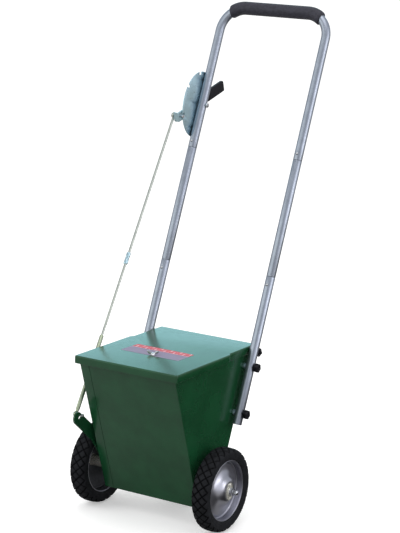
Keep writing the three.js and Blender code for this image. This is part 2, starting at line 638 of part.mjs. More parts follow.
const gripLow = leverGripRaise - leverGripHalf;
const gripHigh = leverGripRaise + leverGripHalf;
const gripCorner = 3;
const gripShape = outline([
  [leverGripFrom, gripLow + gripCorner], [leverGripFrom + gripCorner, gripLow],
  [leverRear - gripCorner, gripLow], [leverRear, gripLow + gripCorner],
  [leverRear, gripHigh - gripCorner], [leverRear - gripCorner, gripHigh],
  [leverGripFrom + gripCorner, gripHigh], [leverGripFrom, gripHigh - gripCorner]]);
const gripSlot = box(leverX0 - gap, leverX1 + gap, leverGripFrom - 1, stripEnd + gap,
  -stripHalf - gap, stripHalf + gap);
add(lever, 'lever_grip', cut(plateX(gripShape, leverX0 - gripCheek, leverX1 + gripCheek), gripSlot), blackPlastic);

// ---------------------------------------------------------------- control rod
// The rod runs straight from the lever pin to the gate pin, with a coupling half way.
const rodFrom = new THREE.Vector3(rodTopX, ...rodTop);
const rodTo = new THREE.Vector3(rodFootX, ...rodFoot);
const rodSpan = rodFrom.distanceTo(rodTo);
const rodFrame = new THREE.Group();     // local Z runs down the rod from the lever pin
rodFrame.position.copy(rodFrom);
const downRod = rodTo.clone().sub(rodFrom).normalize();
rodFrame.quaternion.setFromUnitVectors(new THREE.Vector3(0, 0, 1), downRod);
machine.add(rodFrame);

// Places a piece that is square to X at a distance down the rod, in the rod's frame.
const squareTo = rodFrame.quaternion.clone().invert();
function eye(distance, hole) {
  const matrix = new THREE.Matrix4().compose(along(distance), squareTo, new THREE.Vector3(1, 1, 1));
  return cut(rodX(8, -2.5, 2.5, 0, 0, 20), rodX(hole, -4, 4)).transform(matrix.elements);
}

const couplingAt = rodSpan * 0.492;
const couplingHalf = 15;
const sleeveFrom = rodSpan * 0.745;
const sleeveRadius = 4.8;
const eyeHole = rodPinRadius + running;
const topEye = eye(0, eyeHole);
const footEye = eye(rodSpan, eyeHole);
add(rodFrame, 'rod_upper', join(topEye, turnedZ(rod(rodRadius, 6, couplingAt - 1), 12)), brightSteel);
add(rodFrame, 'rod_lower', join(footEye,
  turnedZ([
    [0, couplingAt + 1], [rodRadius, couplingAt + 1], [rodRadius, sleeveFrom],
    [sleeveRadius, sleeveFrom + 3], [sleeveRadius, rodSpan - 14], [rodRadius, rodSpan - 8],
    [0, rodSpan - 8]], 12),
  turnedZ(rod(rodRadius, rodSpan - 9, rodSpan - 6), 12)), brightSteel);
const couplingRadius = 5.2;
const couplingFrom = couplingAt - couplingHalf;
const couplingTo = couplingAt + couplingHalf;
const couplingBody = turnedZ([
  [0, couplingFrom], [couplingRadius - 0.8, couplingFrom], [couplingRadius, couplingFrom + 2],
  [couplingRadius, couplingTo - 2], [couplingRadius - 0.8, couplingTo], [0, couplingTo]], 12);
const coupling = cut(couplingBody, turnedZ(rod(rodRadius + gap, couplingFrom - 1, couplingTo + 1), 12));
add(rodFrame, 'rod_coupling', coupling, zinc);

// Headed pins along X through the rod eyes; each is kept in by a clip outside the eye.
const pinHead = 4.2;
function pin(headX, endX, [y, z]) {
  return join(rodX(rodPinRadius, endX, headX, y, z), rodX(pinHead, headX - 3, headX, y, z));
}
const clipRing = (x, [y, z]) =>
  turnedX(ring(rodPinRadius + 0.4, rodPinRadius + 2.6, x - 0.9, x + 0.9), 16).translate([0, y, z]);
add(machine, 'lever_pin', pin(-157, rodTopX - 7, rodTop), brightSteel);
add(machine, 'lever_pin_clip', clipRing(rodTopX - 4.5, rodTop), brightSteel);
add(machine, 'gate_pin', pin(gateArmX + 4.5, rodFootX - 7, rodFoot), brightSteel);
add(machine, 'gate_pin_clip', clipRing(rodFootX - 4.5, rodFoot), zinc);

// ---------------------------------------------------------------- gate
const ringRadius = bushHole + 9;
const armHole = rodX(bushHole + running, armOuterX - 1, gateArmX + 1, 0, wheelRadius, 32);
const gateArc = sector(gateInner, gateOuter, gateFrom, gateTo);
const armDrop = (x0, x1) => cut(join(
  rodX(ringRadius, x0, x1, 0, wheelRadius, 24),
  plateX(sector(ringRadius - 8, gateOuter, slotAngle - 4, gateTo), x0, x1)),
rodX(bushHole + running, x0 - 1, x1 + 1, 0, wheelRadius, 32));

// Curved shutter with its right-hand end arm in one pressing.
const shutter = cut(plateX(gateArc, gateArmX + gap, -gateArmX + 0.5, 8),
  ...windows(slotAngle + gateSwing, gateInner - 1, gateOuter + 1));
add(machine, 'gate_shutter', join(shutter, armDrop(-gateArmX, -armOuterX)), green);

// Left-hand arm, carried on up to the rod, with a slot for the pin.
const armMiddle = [rodFootY * 0.5, wheelRadius + (rodFootZ - wheelRadius) * 0.56];
const armEnd = [rodFootY - 14, rodFootZ - 4];
function strip(from, to, width, x0, x1) {
  const direction = minus(to, from);
  const length = Math.hypot(...direction);
  const bar = box(x0, x1, 0, length, -width / 2, width / 2);
  return bar.rotate([THREE.MathUtils.radToDeg(bearing(direction)), 0, 0]).translate([0, ...from]);
}
const round = (centre, radius) => rodX(radius, armOuterX, gateArmX, centre[0], centre[1], 20);
const slotRadius = rodPinRadius + 0.5;
const slotEnd = rodFoot.map((v, i) => v + slip[i]);
const armLeft = join(armDrop(armOuterX, gateArmX),
  strip(axleCentre, armMiddle, gateArmWidth, armOuterX, gateArmX), round(armMiddle, gateArmWidth / 2),
  strip(armMiddle, armEnd, gateArmWidth, armOuterX, gateArmX), round(armEnd, gateArmWidth / 2));
add(machine, 'gate_arm_left', cut(armLeft, armHole,
  strip(rodFoot, slotEnd, 2 * slotRadius, armOuterX - 1, gateArmX + 1),
  ...[rodFoot, slotEnd].map(([y, z]) => rodX(slotRadius, armOuterX - 1, gateArmX + 1, y, z))), green);

// ---------------------------------------------------------------- rear stand
const standTopZ = hopperBottomZ + 150.7;
const standBendZ = hopperBottomZ + 95.7;
const onWall = (z) => [rearY(z) + gap, z];
const standRun = [onWall(standTopZ), onWall(standBendZ), [standFootY, standThickness]];
const level = standThickness * 1.12;
const standShape = outline([
  standRun[0], standRun[1], [standFootY - 6, 0], [standFootY + standFootLength, 0],
  [standFootY + standFootLength, standThickness], [standFootY - 2, standThickness],
  [standRun[1][0] + level, standBendZ + 2], [standRun[0][0] + level, standTopZ]]);
add(machine, 'rear_stand', plateX(standShape, -standWidth / 2, standWidth / 2), green);

// ---------------------------------------------------------------- origin under the middle of the object
machine.updateMatrixWorld(true);
const middle = new THREE.Box3().setFromObject(machine, true).getCenter(new THREE.Vector3());
const group = new THREE.Group();
machine.position.y = -middle.y;
group.add(machine);
group.updateMatrixWorld(true);

export default group;
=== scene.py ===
"""Walk-behind dry line marker: the finished look of every piece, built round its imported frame.

Every size below is in millimetres unless a name says otherwise. The row frame has +Z up and X along the axle,
with the front of the hopper towards -Y.
"""
import json
import math

import bmesh
import bpy
from mathutils import Matrix, Vector


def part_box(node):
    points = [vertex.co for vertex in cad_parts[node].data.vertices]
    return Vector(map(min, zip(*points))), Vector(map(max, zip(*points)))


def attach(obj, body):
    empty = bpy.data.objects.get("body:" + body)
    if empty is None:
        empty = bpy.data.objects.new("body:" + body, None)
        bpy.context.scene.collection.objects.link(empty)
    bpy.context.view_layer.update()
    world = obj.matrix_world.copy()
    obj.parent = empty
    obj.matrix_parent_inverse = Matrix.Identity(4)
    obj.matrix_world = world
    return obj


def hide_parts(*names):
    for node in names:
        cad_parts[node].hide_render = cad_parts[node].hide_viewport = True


bl_info = {
    "name": "Dry line marker",
    "version": (1, 0, 0),
    "blender": (4, 5, 0),
    "location": "3D View > Sidebar > Line Marker",
    "description": "Builds the finished pieces of a walk-behind dry line marker round its packed frame",
    "category": "Add Mesh",
}

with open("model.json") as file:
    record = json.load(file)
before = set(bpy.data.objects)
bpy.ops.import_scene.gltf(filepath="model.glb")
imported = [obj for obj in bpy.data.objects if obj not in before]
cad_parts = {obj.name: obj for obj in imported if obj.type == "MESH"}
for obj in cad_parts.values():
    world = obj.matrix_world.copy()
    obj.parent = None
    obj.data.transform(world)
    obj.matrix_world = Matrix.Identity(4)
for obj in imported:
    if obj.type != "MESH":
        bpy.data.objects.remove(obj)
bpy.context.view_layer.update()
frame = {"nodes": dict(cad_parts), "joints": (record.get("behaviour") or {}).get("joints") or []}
JOINTS = {joint["name"]: joint for joint in frame["joints"]}
MM = 0.001


def box_mm(node):
    """Lowest and highest corner of a frame node, in millimetres."""
    low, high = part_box(node)
    return low / MM, high / MM


def joint_at(name):
    return Vector(JOINTS[name]["pos_m"]) / MM


# ---------------------------------------------------------------- places, from the frame
AXLE_AT = joint_at("axle_spin")
LEVER_AT = joint_at("lever_swing")
PRESS = Vector(JOINTS["button_lower_left_press"]["axis"])
LEAN = math.atan2(abs(PRESS.z), abs(PRESS.y))    # handle, back from upright
TUBE_LOW, TUBE_HIGH = box_mm("lower_tube_right")
TUBE_X = (TUBE_LOW.x + TUBE_HIGH.x) / 2
TUBE_RADIUS = (TUBE_HIGH.x - TUBE_LOW.x) / 2

PIVOT_UP = 762.5                                 # lever pivot, along the tube from its foot
LOWER_JOINT = 361.5
UPPER_JOINT = 652
HANDLE_TOP = 1021.4
LEVER_REST = math.radians(38)
LEVER_PIN = 78                                   # lever pivot to rod pin
ROD_TOP_X = -186
ROD_FOOT_X = -158

ROW = Matrix.Translation((0, AXLE_AT.y, 0))      # axle at Y 0, ground at Z 0
AXLE = Matrix.Translation((0, AXLE_AT.y, AXLE_AT.z))
QUADRANT = Matrix.Translation((0, LEVER_AT.y, LEVER_AT.z)) @ Matrix.Rotation(-LEAN, 4, "X")
HANDLE = QUADRANT @ Matrix.Translation((0, 0, -PIVOT_UP))
LEVER = QUADRANT @ Matrix.Rotation(LEVER_REST, 4, "X")

ROD_TOP = LEVER @ Vector((ROD_TOP_X, -LEVER_PIN, 0))
GATE_PIN_LOW, GATE_PIN_HIGH = box_mm("gate_pin")
ROD_FOOT = (GATE_PIN_LOW + GATE_PIN_HIGH) / 2
ROD_FOOT.x = ROD_FOOT_X
ROD_SPAN = (ROD_FOOT - ROD_TOP).length
DOWN_ROD = Vector((0, 0, 1)).rotation_difference(ROD_FOOT - ROD_TOP).to_matrix().to_4x4()
ROD = Matrix.Translation(ROD_TOP) @ DOWN_ROD

SIDES = (("left", -1), ("right", 1))
LEVELS = ("lower", "upper")


# ---------------------------------------------------------------- sizes and colours a user would change
def linear(code):
    """Linear colour of an sRGB hex code."""
    channels = ((code >> 16) & 255, (code >> 8) & 255, code & 255)
    shares = [channel / 255 for channel in channels]
    return tuple(s / 12.92 if s <= 0.04045 else ((s + 0.055) / 1.055) ** 2.4 for s in shares)


def length_property(name, description, default):
    return bpy.props.FloatProperty(
        name=name, description=description, default=default * MM, min=0, unit="LENGTH", subtype="DISTANCE")


def colour_property(name, description, code):
    return bpy.props.FloatVectorProperty(
        name=name, description=description, default=linear(code), size=3, min=0, max=1, subtype="COLOR")


class MarkerSizes(bpy.types.PropertyGroup):
    sheet: length_property("Sheet", "Thickness of the hopper and lid sheet", 1.5)
    fold: length_property("Fold", "Outer radius of a sheet's folded corners", 3)
    tread_block: length_property("Tread block", "Length of one diamond block of the tyre tread", 22.5)
    tread_groove: length_property("Tread groove", "Width of the grooves between the blocks", 2.3)
    tread_depth: length_property("Tread depth", "Depth of the grooves between the blocks", 3.2)
    knob_radius: length_property("Knob radius", "Radius over the lobes of a knob", 11.5)
    grip_radius: length_property("Grip radius", "Outer radius of the foam grip", 16.5)


class MarkerColours(bpy.types.PropertyGroup):
    enamel: colour_property("Enamel", "Hopper, lid and gate", 0x15472A)
    tube: colour_property("Tube", "Handle tubes", 0xA7ADB8)
    zinc: colour_property("Zinc plate", "Pressed and turned fittings", 0xBDD8E0)
    rim: colour_property("Rim paint", "Wheel rims", 0xB6B6BE)
    # painted shade: the dark grey on the rims' inner side stands in for the shadow the hopper casts there
    primer: colour_property("Rim primer", "Inner side of the wheel rims", 0x46484D)
    bright: colour_property("Bright steel", "Pins, nuts and the wing screw", 0xD2D3D6)
    rod_sleeve: colour_property("Rod sleeve", "Yellow passivated sleeve at the foot of the rod", 0xB4BDA2)
    rod: colour_property("Rod", "Clear zinc plate of the control rod", 0xC2C6BC)
    hub: colour_property("Hub", "Satin nickel of the hubs", 0xE4E2D8)
    rubber: colour_property("Rubber", "Tyres", 0x1C1D20)
    foam: colour_property("Foam", "Handle grip", 0x2E2D37)
    plastic: colour_property("Plastic", "Knobs and the lever grip", 0x121118)
    label: colour_property("Label", "Main field of the lid label", 0x8A7F97)
    label_strip: colour_property("Label strip", "Rear strip of the lid label", 0xC4525E)
    floor: colour_property("Floor", "Studio floor", 0xF4F4F4)


def size_of(name):
    """A size from the panel, in millimetres."""
    return getattr(bpy.context.scene.marker_sizes, name) / MM


def colour_of(name, strength=1.0):
    return tuple(min(1, c * strength) for c in getattr(bpy.context.scene.marker_colours, name)) + (1,)


# ---------------------------------------------------------------- finishes
def add_node(tree, kind, inputs=None, **settings):
    """Adds a node with its settings, and fills its sockets with values or with other nodes' outputs."""
    made = tree.nodes.new(kind)
    for name, value in settings.items():
        setattr(made, name, value)
    for key, value in (inputs or {}).items():
        if isinstance(value, bpy.types.NodeSocket):
            tree.links.new(value, made.inputs[key])
        else:
            made.inputs[key].default_value = value
    return made


def new_finish(name, values):
    """An empty material, its tree and its principled shader, whose own sockets are set."""
    material = bpy.data.materials.new(name)
    material.use_nodes = True
    tree = material.node_tree
    tree.nodes.clear()
    shader = add_node(tree, "ShaderNodeBsdfPrincipled", values)
    add_node(tree, "ShaderNodeOutputMaterial", {"Surface": shader.outputs["BSDF"]})
    return material, tree, shader


def grain(tree, period, detail=2.0, stretch=(1, 1, 1)):
    """Noise whose blotches are about period millimetres across, in the piece's own coordinates."""
    place = add_node(tree, "ShaderNodeTexCoord")
    scaled = add_node(tree, "ShaderNodeMapping", {"Vector": place.outputs["Object"], "Scale": stretch})
    noise = add_node(tree, "ShaderNodeTexNoise", {
        "Vector": scaled.outputs["Vector"], "Scale": 1 / (period * MM), "Detail": detail})
    return noise.outputs["Fac"]


def tint(tree, shader, factor, low, high, span=(0.35, 0.65)):
    """Colours the shader between two colours as factor goes over span."""
    ramp = add_node(tree, "ShaderNodeValToRGB", {"Fac": factor})
    for element, at, colour in zip(ramp.color_ramp.elements, span, (low, high)):
        element.position = at
        element.color = colour
    tree.links.new(ramp.outputs["Color"], shader.inputs["Base Color"])


def gloss(tree, shader, factor, low, high):
    """Spreads the roughness between low and high."""
    spread = add_node(tree, "ShaderNodeMapRange",
                      {"Value": factor, "From Min": 0.3, "From Max": 0.7, "To Min": low, "To Max": high})
    tree.links.new(spread.outputs["Result"], shader.inputs["Roughness"])


def relief(tree, shader, height, depth):
    """Bump of depth millimetres."""
    bump = add_node(tree, "ShaderNodeBump", {"Height": height, "Distance": depth * MM, "Strength": 1.0})
    tree.links.new(bump.outputs["Normal"], shader.inputs["Normal"])


def patch_of(tree, around, toward, inner, outer):
    """One inside a cone of directions round toward, fading to nought between two half angles in degrees."""
    dot = add_node(tree, "ShaderNodeVectorMath", {0: around, 1: Vector(toward).normalized()},
                   operation="DOT_PRODUCT")
    return add_node(tree, "ShaderNodeMapRange", {
        "Value": dot.outputs["Value"], "From Min": math.cos(math.radians(outer)),
        "From Max": math.cos(math.radians(inner))}, interpolation_type="SMOOTHSTEP").outputs["Result"]


def mixed_colour(tree, factor, low, high):
    """Colour from low to high as the factor goes from nought to one."""
    mixed = add_node(tree, "ShaderNodeMix", data_type="RGBA")
    sockets = {socket.identifier: socket for socket in mixed.inputs}
    for key, value in (("Factor_Float", factor), ("A_Color", low), ("B_Color", high)):
        if isinstance(value, bpy.types.NodeSocket):
            tree.links.new(value, sockets[key])
        else:
            sockets[key].default_value = value
    return next(socket for socket in mixed.outputs if socket.identifier == "Result_Color")


def green_enamel():
    # Stoved enamel on sheet steel: deep green, with a smooth gloss that mirrors its surroundings at a low
    # angle, and the slight waviness of pressed sheet.
    material, tree, shader = new_finish("green_enamel_stoved", {"IOR": 1.5})
    tint(tree, shader, grain(tree, 60), colour_of("enamel", 0.9), colour_of("enamel", 1.12))
    gloss(tree, shader, grain(tree, 14, 2), 0.2, 0.25)
    relief(tree, shader, grain(tree, 90, 1), 0.12)
    return material


def satin_tube():
    # Drawn steel tube with a satin silver coat: soft long highlights with faint draw lines along the tube.
    material, tree, shader = new_finish("tube_satin_silver", {"Metallic": 1.0})
    lines = grain(tree, 0.9, 2, (1, 1, 0.02))
    tint(tree, shader, grain(tree, 25), colour_of("tube", 0.92), colour_of("tube", 1.05))
    gloss(tree, shader, lines, 0.33, 0.42)
    relief(tree, shader, lines, 0.003)
    return material


def zinc_plate(name="zinc_plate_blue", colour="zinc", low=0.26, high=0.42):
    # Zinc plate passivated blue: a cool metal with cloudy patches of sheen.
    material, tree, shader = new_finish(name, {"Metallic": 1.0})
    cloud = grain(tree, 16, 3)
    tint(tree, shader, cloud, colour_of(colour, 0.9), colour_of(colour, 1.05))
    gloss(tree, shader, grain(tree, 7, 3), low, high)
    relief(tree, shader, grain(tree, 1.6, 1), 0.004)
    return material


def rod_sleeve_finish():
    # Yellow passivated zinc: the same cloudy plate with a straw tinge.
    return zinc_plate("zinc_plate_yellow", "rod_sleeve", 0.24, 0.4)


def rod_zinc():
    # Clear zinc on the rod: paler and warmer than the blue plate.
    return zinc_plate("zinc_plate_clear", "rod", 0.28, 0.44)


def hub_nickel():
    # Satin nickel over a turned hub: a creamy half-metallic sheen.
    material, tree, shader = new_finish("hub_satin_nickel", {"Metallic": 0.55})
    tint(tree, shader, grain(tree, 9, 2), colour_of("hub", 0.9), colour_of("hub", 1.05))
    gloss(tree, shader, grain(tree, 2, 2), 0.22, 0.36)
    relief(tree, shader, grain(tree, 1.2, 1), 0.004)
    return material


def silver_rim():
    # Silver lacquer over pressed steel: bright, with metal flake just too fine to see singly.
    material, tree, shader = new_finish("rim_silver_lacquer", {"Metallic": 1.0})
    tint(tree, shader, grain(tree, 1.2, 2), colour_of("rim", 0.94), colour_of("rim", 1.04))
    gloss(tree, shader, grain(tree, 18, 3), 0.3, 0.36)
    relief(tree, shader, grain(tree, 2.5, 1), 0.003)
    return material


def rim_inner_painted_shade():
    # Inner side of the wheel: painted shade, a dark grey in a faint mottle that stands in for the hopper's
    # shadow on it, with hardly any shine.
    material, tree, shader = new_finish("rim_primer_grey", {"Specular IOR Level": 0.3})
    tint(tree, shader, grain(tree, 12, 3), colour_of("primer", 0.85), colour_of("primer", 1.15))
    gloss(tree, shader, grain(tree, 5, 2), 0.5, 0.65)
    relief(tree, shader, grain(tree, 1.5, 1), 0.01)
    return material


def bright_steel():
    # Turned and polished steel: near-mirror, with faint tool marks.
    material, tree, shader = new_finish("steel_bright_turned", {"Metallic": 1.0})
    tint(tree, shader, grain(tree, 8), colour_of("bright", 0.88), colour_of("bright", 1.04))
    gloss(tree, shader, grain(tree, 1.5, 2), 0.14, 0.26)
    relief(tree, shader, grain(tree, 0.8, 1), 0.006)
    return material


def tyre_rubber():
    # Moulded rubber: dull near-black, with a dry bloom that greys it in patches.
    material, tree, shader = new_finish("rubber_moulded", {"IOR": 1.5, "Specular IOR Level": 0.12})
    tint(tree, shader, grain(tree, 14, 4), colour_of("rubber", 0.8), colour_of("rubber", 1.3))
    gloss(tree, shader, grain(tree, 6, 3), 0.55, 0.75)
    relief(tree, shader, grain(tree, 0.9, 2), 0.05)
    return material


def groove_shaded_rubber():
    # The same rubber in the bottom of a groove, darkened to a tenth to a quarter of its colour: painted shade
    # in the groove.
    material, tree, shader = new_finish("rubber_groove", {
        "IOR": 1.5, "Specular IOR Level": 0.15, "Roughness": 0.9})
    tint(tree, shader, grain(tree, 5, 2), colour_of("rubber", 0.12), colour_of("rubber", 0.25))
    return material


FOAM_CELL = 1.3


def grip_foam():
    # Closed-cell foam sleeve: matt, with its skin pricked by cells about a millimetre across.
    material, tree, shader = new_finish("foam_closed_cell", {"IOR": 1.45, "Specular IOR Level": 0.5})
    place = add_node(tree, "ShaderNodeTexCoord")
    cells = add_node(tree, "ShaderNodeTexVoronoi", {
        "Vector": place.outputs["Object"], "Scale": 1 / (FOAM_CELL * MM)})
    tint(tree, shader, grain(tree, 7, 4), colour_of("foam", 0.8), colour_of("foam", 1.25))
    gloss(tree, shader, grain(tree, 4, 2), 0.5, 0.62)
    relief(tree, shader, cells.outputs["Distance"], 0.08)
    return material


def black_plastic():
    # Moulded nylon: black, half matt from a fine spark-eroded grain.
    material, tree, shader = new_finish("nylon_black_moulded", {"IOR": 1.5, "Specular IOR Level": 0.2})
    tint(tree, shader, grain(tree, 10, 3), colour_of("plastic", 0.85), colour_of("plastic", 1.2))
    gloss(tree, shader, grain(tree, 3, 3), 0.4, 0.52)
    relief(tree, shader, grain(tree, 0.6, 1), 0.02)
    return material


LABEL_STRIP_FROM = 0.66                          # share of the label's depth in front of the strip
LABEL_MARKS = 0xE7C9CF                           # pale bars printed on the strip


def printed_label():
    # Printed film with a silk surface: a coloured strip with pale bars above a soft plain field.
    material, tree, shader = new_finish("label_printed_film", {
        "Roughness": 0.5, "IOR": 1.45, "Specular IOR Level": 0.15})
    place = add_node(tree, "ShaderNodeTexCoord")
    parts = add_node(tree, "ShaderNodeSeparateXYZ", {"Vector": place.outputs["Generated"]})
    in_strip = add_node(tree, "ShaderNodeMath", {0: parts.outputs["Y"], 1: LABEL_STRIP_FROM},
                        operation="GREATER_THAN")
    bars = add_node(tree, "ShaderNodeTexBrick", {
        "Vector": place.outputs["Generated"], "Color1": colour_of("label_strip"),
        "Color2": colour_of("label_strip", 0.9), "Mortar": linear(LABEL_MARKS) + (1,), "Scale": 1.0,
        "Mortar Size": 0.007, "Brick Width": 0.16, "Row Height": 0.17})
    cloud = add_node(tree, "ShaderNodeTexNoise", {"Vector": place.outputs["Generated"], "Scale": 3.0})
    field = add_node(tree, "ShaderNodeValToRGB", {"Fac": cloud.outputs["Fac"]})
    field.color_ramp.elements[0].color = colour_of("label", 0.8)
    field.color_ramp.elements[1].color = colour_of("label", 1.15)
    colour = mixed_colour(tree, in_strip.outputs["Value"], field.outputs["Color"], bars.outputs["Color"])
    tree.links.new(colour, shader.inputs["Base Color"])
    return material


# Finish: its maker and the slot of the record that it fills.
FINISHES = {
    "enamel": (green_enamel, "green_paint"),
    "tube": (satin_tube, "tube_finish"),
    "zinc": (zinc_plate, "zinc_plate"),
    "sleeve": (rod_sleeve_finish, "bright_steel"),
    "rod": (rod_zinc, "bright_steel"),
    "hub": (hub_nickel, "zinc_plate"),
    "rim": (silver_rim, "silver_rim"),
    # the rim's inner side in a dark painted shade
    "rim_back": (rim_inner_painted_shade, "silver_rim"),
    "bright": (bright_steel, "bright_steel"),
    "rubber": (tyre_rubber, "tyre_rubber"),
    # the tread's groove faces in a painted shade
    "groove": (groove_shaded_rubber, "tyre_rubber"),
    "foam": (grip_foam, "foam_grip"),
    "plastic": (black_plastic, "black_plastic"),
    "label": (printed_label, None),
}
made_finishes = {}


def finish_of(name):
    if name not in made_finishes:
        made_finishes[name] = FINISHES[name][0]()
    return made_finishes[name]


# ---------------------------------------------------------------- shapes: (points in millimetres, faces)
def turn(steps, start=0.0, end=2 * math.pi):
    """Angles from start to end, without the end when it closes a full turn."""
    full = abs(abs(end - start) - 2 * math.pi) < 1e-9
    return [start + (end - start) * i / (steps if full else steps - 1) for i in range(steps)]


def moved(shape, matrix):
    points, faces = shape
    return [matrix @ Vector(p) for p in points], faces


def merged(*shapes):
    points, faces = [], []
    for more_points, more_faces in shapes:
        start = len(points)
        points += list(more_points)
        faces += [tuple(i + start for i in face) for face in more_faces]
    return points, faces


def skin(rings, closed=False):
    """Faces between rings of equal count. A closed skin joins its last ring to its first; an open one
    has its ends filled."""
    count = len(rings[0])
    points = [p for one in rings for p in one]
    faces = []
    spans = len(rings) if closed else len(rings) - 1
    for i in range(spans):
        a, b = i * count, (i + 1) % len(rings) * count
        faces += [(a + j, a + (j + 1) % count, b + (j + 1) % count, b + j) for j in range(count)]
    if not closed:
        faces.append(tuple(reversed(range(count))))
        faces.append(tuple(range(spans * count, (spans + 1) * count)))
    return points, faces


def turned(profile, segments=32, closed=False, lobes=0):
    """Turned about X. A profile point is (radius, x) or (radius, x, depth of the lobes)."""
    rings = []
    for radius, x, *depth in profile:
        reach = [radius + (depth[0] * math.cos(lobes * a) if depth else 0) for a in turn(segments)]
        rings.append([(x, r * math.cos(a), r * math.sin(a)) for r, a in zip(reach, turn(segments))])
    return skin(rings, closed)


def bar(radius, start, end, chamfer=0.4, segments=32):
    """A round bar along X with broken edges."""
    return turned([(radius - chamfer, start), (radius, start + chamfer), (radius, end - chamfer),
                   (radius - chamfer, end)], segments)


def collar(inner, outer, start, end, chamfer=0.4, segments=32):
    """A bored bar along X with broken edges."""
    return turned([(inner, start + chamfer), (inner + chamfer, start), (outer - chamfer, start),
                   (outer, start + chamfer), (outer, end - chamfer), (outer - chamfer, end),
                   (inner + chamfer, end), (inner, end - chamfer)], segments, closed=True)


def domed_bar(radius, start, end, segments=32, dome=1.0):
    """A round bar along X with both ends domed."""
    quarter = turn(6, 0.0, math.pi / 2)
    low = [(radius * math.sin(a), start + dome * radius * (1 - math.cos(a))) for a in quarter]
    high = [(r, start + end - x) for r, x in reversed(low)]
    return turned(low + high, segments)


ALONG_Y = Matrix.Rotation(math.pi / 2, 4, "Z")
ALONG_Z = Matrix.Rotation(-math.pi / 2, 4, "Y")


def rounded(corners, steps=4, loop=True):
    """Corners (a, b, radius) of a flat outline, with each corner turned at its radius."""
    made = []
    count = len(corners)
    for i, corner in enumerate(corners):
        here = Vector(corner[:2])
        radius = corner[2] if len(corner) > 2 else 0
        inside = loop or 0 < i < count - 1
        if not radius or not inside:
            made.append(tuple(here))
            continue
        back = Vector(corners[i - 1][:2]) - here
        on = Vector(corners[(i + 1) % count][:2]) - here
        half = back.angle(on) / 2
        reach = min(radius / math.tan(half), 0.49 * back.length, 0.49 * on.length)
        radius = reach * math.tan(half)
        start, end = here + back.normalized() * reach, here + on.normalized() * reach
        centre = here + (back.normalized() + on.normalized()).normalized() * (radius / math.sin(half))
        from_centre = start - centre
        swing = from_centre.angle_signed(end - centre)
        for j in range(steps + 1):
            a = -swing * j / steps
            made.append((centre.x + from_centre.x * math.cos(a) - from_centre.y * math.sin(a),
                         centre.y + from_centre.x * math.sin(a) + from_centre.y * math.cos(a)))
    return made


def strip_section(path, thickness, steps=4):
    """Section of a folded sheet: the middle line's corners (a, b, radius), thickened to both sides."""
    line = [Vector(p) for p in rounded(path, steps, loop=False)]
    one, other = [], []
    for i, here in enumerate(line):
        before = (here - line[i - 1]).normalized() if i else None
        after = (line[i + 1] - here).normalized() if i < len(line) - 1 else None
        way = ((before or after) + (after or before)).normalized()
        across = Vector((-way.y, way.x)) * (thickness / 2)
        if before and after:
            across = across / max(0.5, way.dot(after))
        one.append(tuple(here + across))
        other.append(tuple(here - across))
    return one + other[::-1]


def smooth_line(points, steps=4):
    """A smooth line through all the points."""
    made = []
    for i in range(len(points) - 1):
        p0, p1 = Vector(points[max(i - 1, 0)]), Vector(points[i])
        p2, p3 = Vector(points[i + 1]), Vector(points[min(i + 2, len(points) - 1)])
        for j in range(steps):
            t = j / steps
            made.append(tuple(0.5 * (2 * p1 + (p2 - p0) * t + (2 * p0 - 5 * p1 + 4 * p2 - p3) * t * t
                                     + (3 * p1 - p0 - 3 * p2 + p3) * t ** 3)))
    return made + [tuple(points[-1])]


def prism(outline, low, high):
    """A flat outline carried from low to high along its third axis."""
    return skin([[(a, b, low) for a, b in outline], [(a, b, high) for a, b in outline]])


def plate(outline, low, high, holes=(), edge=0.4):
    """A flat plate from low to high, with its outline and holes rounded over by edge."""
    curve = bpy.data.curves.new("plate", "CURVE")
    curve.dimensions, curve.fill_mode = "2D", "BOTH"
    curve.extrude, curve.bevel_depth = (high - low) / 2 - edge, edge
    curve.bevel_resolution, curve.offset = 1, -edge
    for loop in (outline, *holes):
        line = curve.splines.new("POLY")
        line.points.add(len(loop) - 1)
        line.use_cyclic_u = True
        for point, (a, b) in zip(line.points, loop):
            point.co = (a, b, 0, 1)
    carrier = bpy.data.objects.new("plate", curve)
    bpy.context.scene.collection.objects.link(carrier)
    graph = bpy.context.evaluated_depsgraph_get()
    mesh = bpy.data.meshes.new_from_object(carrier.evaluated_get(graph))
    middle = (low + high) / 2
    points = [(v.co.x, v.co.y, v.co.z + middle) for v in mesh.vertices]
    faces = [tuple(face.vertices) for face in mesh.polygons]
    bpy.data.objects.remove(carrier)
    bpy.data.meshes.remove(mesh)
    bpy.data.curves.remove(curve)
    return points, faces


# A plate's outline (a, b) and its third axis become (Y, Z) and X, or (X, Z) and Y.
FACE_X = Matrix(((0, 0, 1, 0), (1, 0, 0, 0), (0, 1, 0, 0), (0, 0, 0, 1)))
FACE_Y = Matrix(((1, 0, 0, 0), (0, 0, 1, 0), (0, 1, 0, 0), (0, 0, 0, 1)))


def plate_x(outline, low, high, holes=(), edge=0.4):
    return moved(plate(outline, low, high, holes, edge), FACE_X)


def circle(radius, at=(0, 0), steps=24, start=0.0):
    return [(at[0] + radius * math.cos(a + start), at[1] + radius * math.sin(a + start)) for a in turn(steps)]


def mirror(sign):
    return Matrix.Diagonal((sign, 1, 1, 1))


# ---------------------------------------------------------------- pieces
def tidy(mesh, sharp):
    """Welds the mesh, faces it outwards and smooths it except at edges sharper than sharp degrees."""
    work = bmesh.new()
    work.from_mesh(mesh)
    bmesh.ops.remove_doubles(work, verts=work.verts, dist=2e-6)
    bmesh.ops.dissolve_degenerate(work, edges=work.edges, dist=1e-6)
    bmesh.ops.recalc_face_normals(work, faces=work.faces)
    limit = math.radians(sharp)
    for face in work.faces:
        face.smooth = True
    for edge in work.edges:
        edge.smooth = len(edge.link_faces) == 2 and edge.calc_face_angle(0) < limit
    work.to_mesh(mesh)
    work.free()


